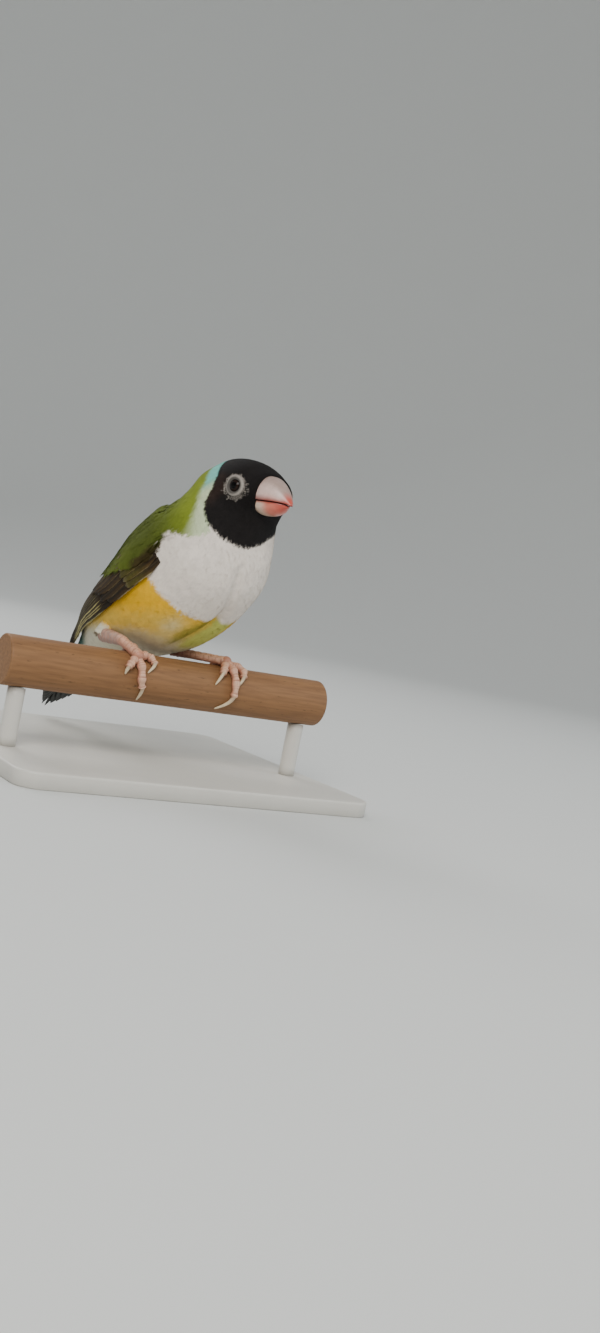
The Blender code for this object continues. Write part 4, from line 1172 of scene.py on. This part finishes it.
def buildThigh():
    rng = np.random.default_rng(31)
    rings, sides = thighSize["rings"], thighSize["sides"]
    place = np.linspace(0.12, 1.0, rings)[:, None] + np.zeros((1, sides))
    degrees = np.linspace(0, 360, sides, endpoint=False)[None, :] + np.zeros((rings, 1))
    spots = thighPoint(place, degrees, thighSize["skinOver"])
    tone = mix(paint["vent"] * 0.9, paint["yellow"] * 0.85, smooth(0.35, 0.6, place)) * 0.8
    joinParts("thigh_skin", [tubePart(spots, tone)], skinFlesh, "plumage_white", "thigh_right")
    count = int(thighSize["feathers"] * density)
    index = np.arange(count)
    upward, turn = (((0.5 + index * step) % 1.0) for step in thighSize["evenSteps"])
    root, degrees = 0.03 + 0.97 * upward, 360.0 * turn
    tip = root - thighSize["length"] * rng.uniform(0.8, 1.2, count)
    tipDegrees = degrees + rng.uniform(-12, 12, count)
    half, low = np.full(count, thighSize["half"]), np.full(count, thighSize["rootOver"])
    points, faces, along, across, _, _ = layFeathers(
        thighPoint, (root, degrees), (tip, tipDegrees), half, low, rng.uniform(-0.12, -0.02, count),
        middleFeather, rng, ease=coatSize["ease"])
    coat = makeMesh("coat_thigh", points, faces, False)
    yellow = paint["yellowPale"] * 0.36 + paint["yellow"] * 0.54
    base = mix(paint["vent"] * 0.85, yellow, smooth(0.3, 0.6, root))[:, None, :]
    addColours(coat, shadeFeathers(base, along, rng, 0.08, 0.03, 0.04))
    places = stacked(degrees / 360.0 * 0.9 + 0.05, root * 0.8 + 0.1)
    addBakeMap(coat, bakePatch(places, along, across))
    finishPiece(coat, featherSoft, "plumage_white")


buildThigh()
print("thigh built")

# Perch. Its grain and the dark dashes in it are noises stretched along the wood.
perchLook = {
    "rings": 90, "sides": 96, "edge": 0.5, "edgeSteps": 8, "uneven": 0.003,
    "wood": rgb(136, 97, 60), "woodDark": rgb(116, 80, 48), "rough": 0.62,
    "grain": (90.0, 1300.0, 1300.0), "dashes": (420.0, 2600.0, 2600.0),
}


def stretchedNoise(tree, scale, detail):
    place = tree.nodes.new("ShaderNodeTexCoord")
    squeeze = tree.nodes.new("ShaderNodeMapping")
    setInputs(squeeze, Scale=scale)
    tree.links.new(place.outputs["Object"], squeeze.inputs["Vector"])
    noise = tree.nodes.new("ShaderNodeTexNoise")
    setInputs(noise, Scale=1.0, Detail=detail)
    tree.links.new(squeeze.outputs["Vector"], noise.inputs["Vector"])
    return noise.outputs["Fac"]


def woodMaterial():
    material, tree, shader = newMaterial("perchWood", Roughness=perchLook["rough"])
    grain = stretchedNoise(tree, perchLook["grain"], 6.0)
    dashes = stretchedNoise(tree, perchLook["dashes"], 2.0)
    ramp = tree.nodes.new("ShaderNodeValToRGB")
    for stop, (place, tone) in enumerate(((0.3, "woodDark"), (0.62, "wood"))):
        ramp.color_ramp.elements[stop].position = place
        ramp.color_ramp.elements[stop].color = (*perchLook[tone], 1)
    tree.links.new(grain, ramp.inputs["Fac"])
    dark = addMix(tree, addRange(tree, dashes, From_Min=0.66, From_Max=0.76), ramp.outputs["Color"])
    setInputs(dark, B=(*(perchLook["woodDark"] * 0.5), 1))
    tree.links.new(dark.outputs["Result"], shader.inputs["Base Color"])
    addBump(tree, shader, grain, 0.35, 0.0002)
    return material


def buildPerch():
    half, radius, edge = perchSize["length"] / 2, perchSize["radius"], perchLook["edge"]
    angle = np.linspace(0, math.pi / 2, perchLook["edgeSteps"] + 1)
    endX = -half + edge - edge * np.cos(angle)
    endReach = radius - edge + edge * np.sin(angle)
    middle = np.linspace(-half + edge, half - edge, perchLook["rings"])[1:-1]
    x = np.concatenate((endX, middle, -endX[::-1]))[:, None]
    reach = np.concatenate((endReach, np.full(len(middle), radius), endReach[::-1]))[:, None]
    turn = fullTurn(perchLook["sides"])
    reach = reach * (1 - perchLook["uneven"] * (1 + np.sin(turn * 3 + x * 0.1)) / 2)
    spots = stacked(x, reach * np.cos(turn), reach * np.sin(turn))
    finishPiece(makeMesh("perch", spots, tubeFaces(len(x), len(turn))), woodMaterial(), "perch_wood", "perch")


buildPerch()

# Display stand: a flat base with rounded corners, and two rods up to the perch.
standLook = {
    "length": 98.0, "width": 96.0, "thick": 4.0, "corner": 6.0, "cornerSteps": 12, "edge": 0.6, "foot": 0.3,
    "rodRadius": 2.2, "rodSide": 41.0, "rodSides": 40, "rodRings": 7,
    "paint": rgb(206, 203, 196), "rough": 0.42,
}


def buildBase(material, floor):
    perCorner = standLook["cornerSteps"] + 1
    angle = np.radians([90 * k + np.linspace(0, 90, perCorner) for k in range(4)]).ravel()
    signX, signY = np.repeat((1, -1, -1, 1), perCorner), np.repeat((1, 1, -1, -1), perCorner)
    edge, foot, corner = standLook["edge"], standLook["foot"], standLook["corner"]
    bend = np.linspace(0, math.pi / 2, 7)
    inset = np.concatenate(((foot, 0.0), edge * (1 - np.cos(bend))))
    height = np.concatenate(((0.0, foot), standLook["thick"] - edge * (1 - np.sin(bend))))
    reach = corner - inset[:, None]
    x = signX * (standLook["length"] / 2 - corner) + reach * np.cos(angle)
    y = signY * (standLook["width"] / 2 - corner) + reach * np.sin(angle) - perchSize["back"]
    spots = stacked(x, y, floor + height[:, None])
    base = makeMesh("stand_base", spots, tubeFaces(len(inset), len(angle)))
    finishPiece(base, material, "stand_paint", "stand_base")


def buildRod(word, side, material, floor):
    turn = fullTurn(standLook["rodSides"])
    x = side * standLook["rodSide"] + standLook["rodRadius"] * np.cos(turn)
    y = standLook["rodRadius"] * np.sin(turn)
    # Its top is hollowed to the round of the perch
    top = -np.sqrt((perchSize["radius"] + gap) ** 2 - y**2)
    low = floor + standLook["thick"] + gap * 0.1
    rings = standLook["rodRings"]
    spots = stacked(x, y, low + (top - low) * np.linspace(0, 1, rings)[:, None])
    rod = makeMesh("stand_rod_" + word, spots, tubeFaces(rings, len(turn)))
    finishPiece(rod, material, "stand_paint", "stand_rod_" + word)


standPaint, standTree, standShader = newMaterial("standPaint", Roughness=standLook["rough"])
setInputs(addMottle(standTree, standShader, 120.0, 0.06, 0.08), Colour=(*standLook["paint"], 1))
buildBase(standPaint, -perchSize["height"])
buildRod("left", 1, standPaint, -perchSize["height"])
buildRod("right", -1, standPaint, -perchSize["height"])
print("perch and stand built")

# Studio, in metres: a pale floor that curves up all round, under soft lights.
studio = {
    "flat": 0.9, "wall": 1.5, "tall": 1.6, "sides": 72, "paper": (0.62, 0.63, 0.62), "air": (0.95, 0.98, 1.0),
}


def buildFloor():
    bend = studio["wall"] - studio["flat"]
    angle = np.linspace(0, math.pi / 2, 13)
    reach = np.append(studio["flat"] + bend * np.sin(angle), studio["wall"])
    height = np.append(bend * (1 - np.cos(angle)), studio["tall"])
    turn = fullTurn(studio["sides"])
    spots = stacked(reach[:, None] * np.cos(turn), reach[:, None] * np.sin(turn), height[:, None]) * 1000
    spots = spots - (0.0, perchSize["back"], perchSize["height"])
    bowl = makeMesh("floor", spots, tubeFaces(len(reach), len(turn))[:2])
    paper = {"Base_Color": (*studio["paper"], 1), "Roughness": 0.95}
    bowl.data.materials.append(newMaterial("paperFloor", **paper)[0])


buildFloor()

# Place, size, power and tint of each light
lamps = {
    "key": ((-0.42, -0.62, 0.62), 0.55, 7.5, (1.0, 0.97, 0.92)),
    "fill": ((0.7, -0.35, 0.35), 0.7, 2.6, (0.9, 0.97, 1.0)),
    "rim": ((-0.1, 0.7, 0.6), 0.5, 3.5, (1.0, 1.0, 1.0)),
}
for label, (place, size, power, tint) in lamps.items():
    lamp = bpy.data.lights.new(label, "AREA")
    lamp.shape = "DISK"
    lamp.size = size
    lamp.energy = power
    lamp.color = tint
    holder = bpy.data.objects.new(label, lamp)
    holder.location = place
    holder.rotation_euler = (Vector((0, 0, 0.05)) - Vector(place)).to_track_quat("-Z", "Y").to_euler()
    bpy.context.scene.collection.objects.link(holder)

world = bpy.data.worlds.new("studioAir")
world.use_nodes = True
setInputs(world.node_tree.nodes["Background"], Color=(*studio["air"], 1), Strength=0.55)
bpy.context.scene.world = world

# The camera's place is in millimetres, in the shared frame.
cameraSize = {
    "lens": 35.11, "sensor": 36.0, "near": 0.01, "place": (-156.3, -317.75, 53.41),
    "ahead": (0.5411, 0.83933, -0.05234),
    "right": (0.83028, -0.52332, 0.19174), "up": (-0.13355, 0.14721, 0.98005),
}
cameraData = bpy.data.cameras.new("camera")
cameraData.lens = cameraSize["lens"]
cameraData.sensor_width = cameraSize["sensor"]
cameraData.clip_start = cameraSize["near"]
camera = bpy.data.objects.new("camera", cameraData)
axes = Matrix((Vector(cameraSize["right"]), Vector(cameraSize["up"]), -Vector(cameraSize["ahead"])))
axes = axes.transposed().to_4x4()
axes.translation = Vector(cameraSize["place"]) * 0.001
camera.matrix_world = axes
bpy.context.scene.collection.objects.link(camera)
bpy.context.scene.camera = camera
print("studio ready")
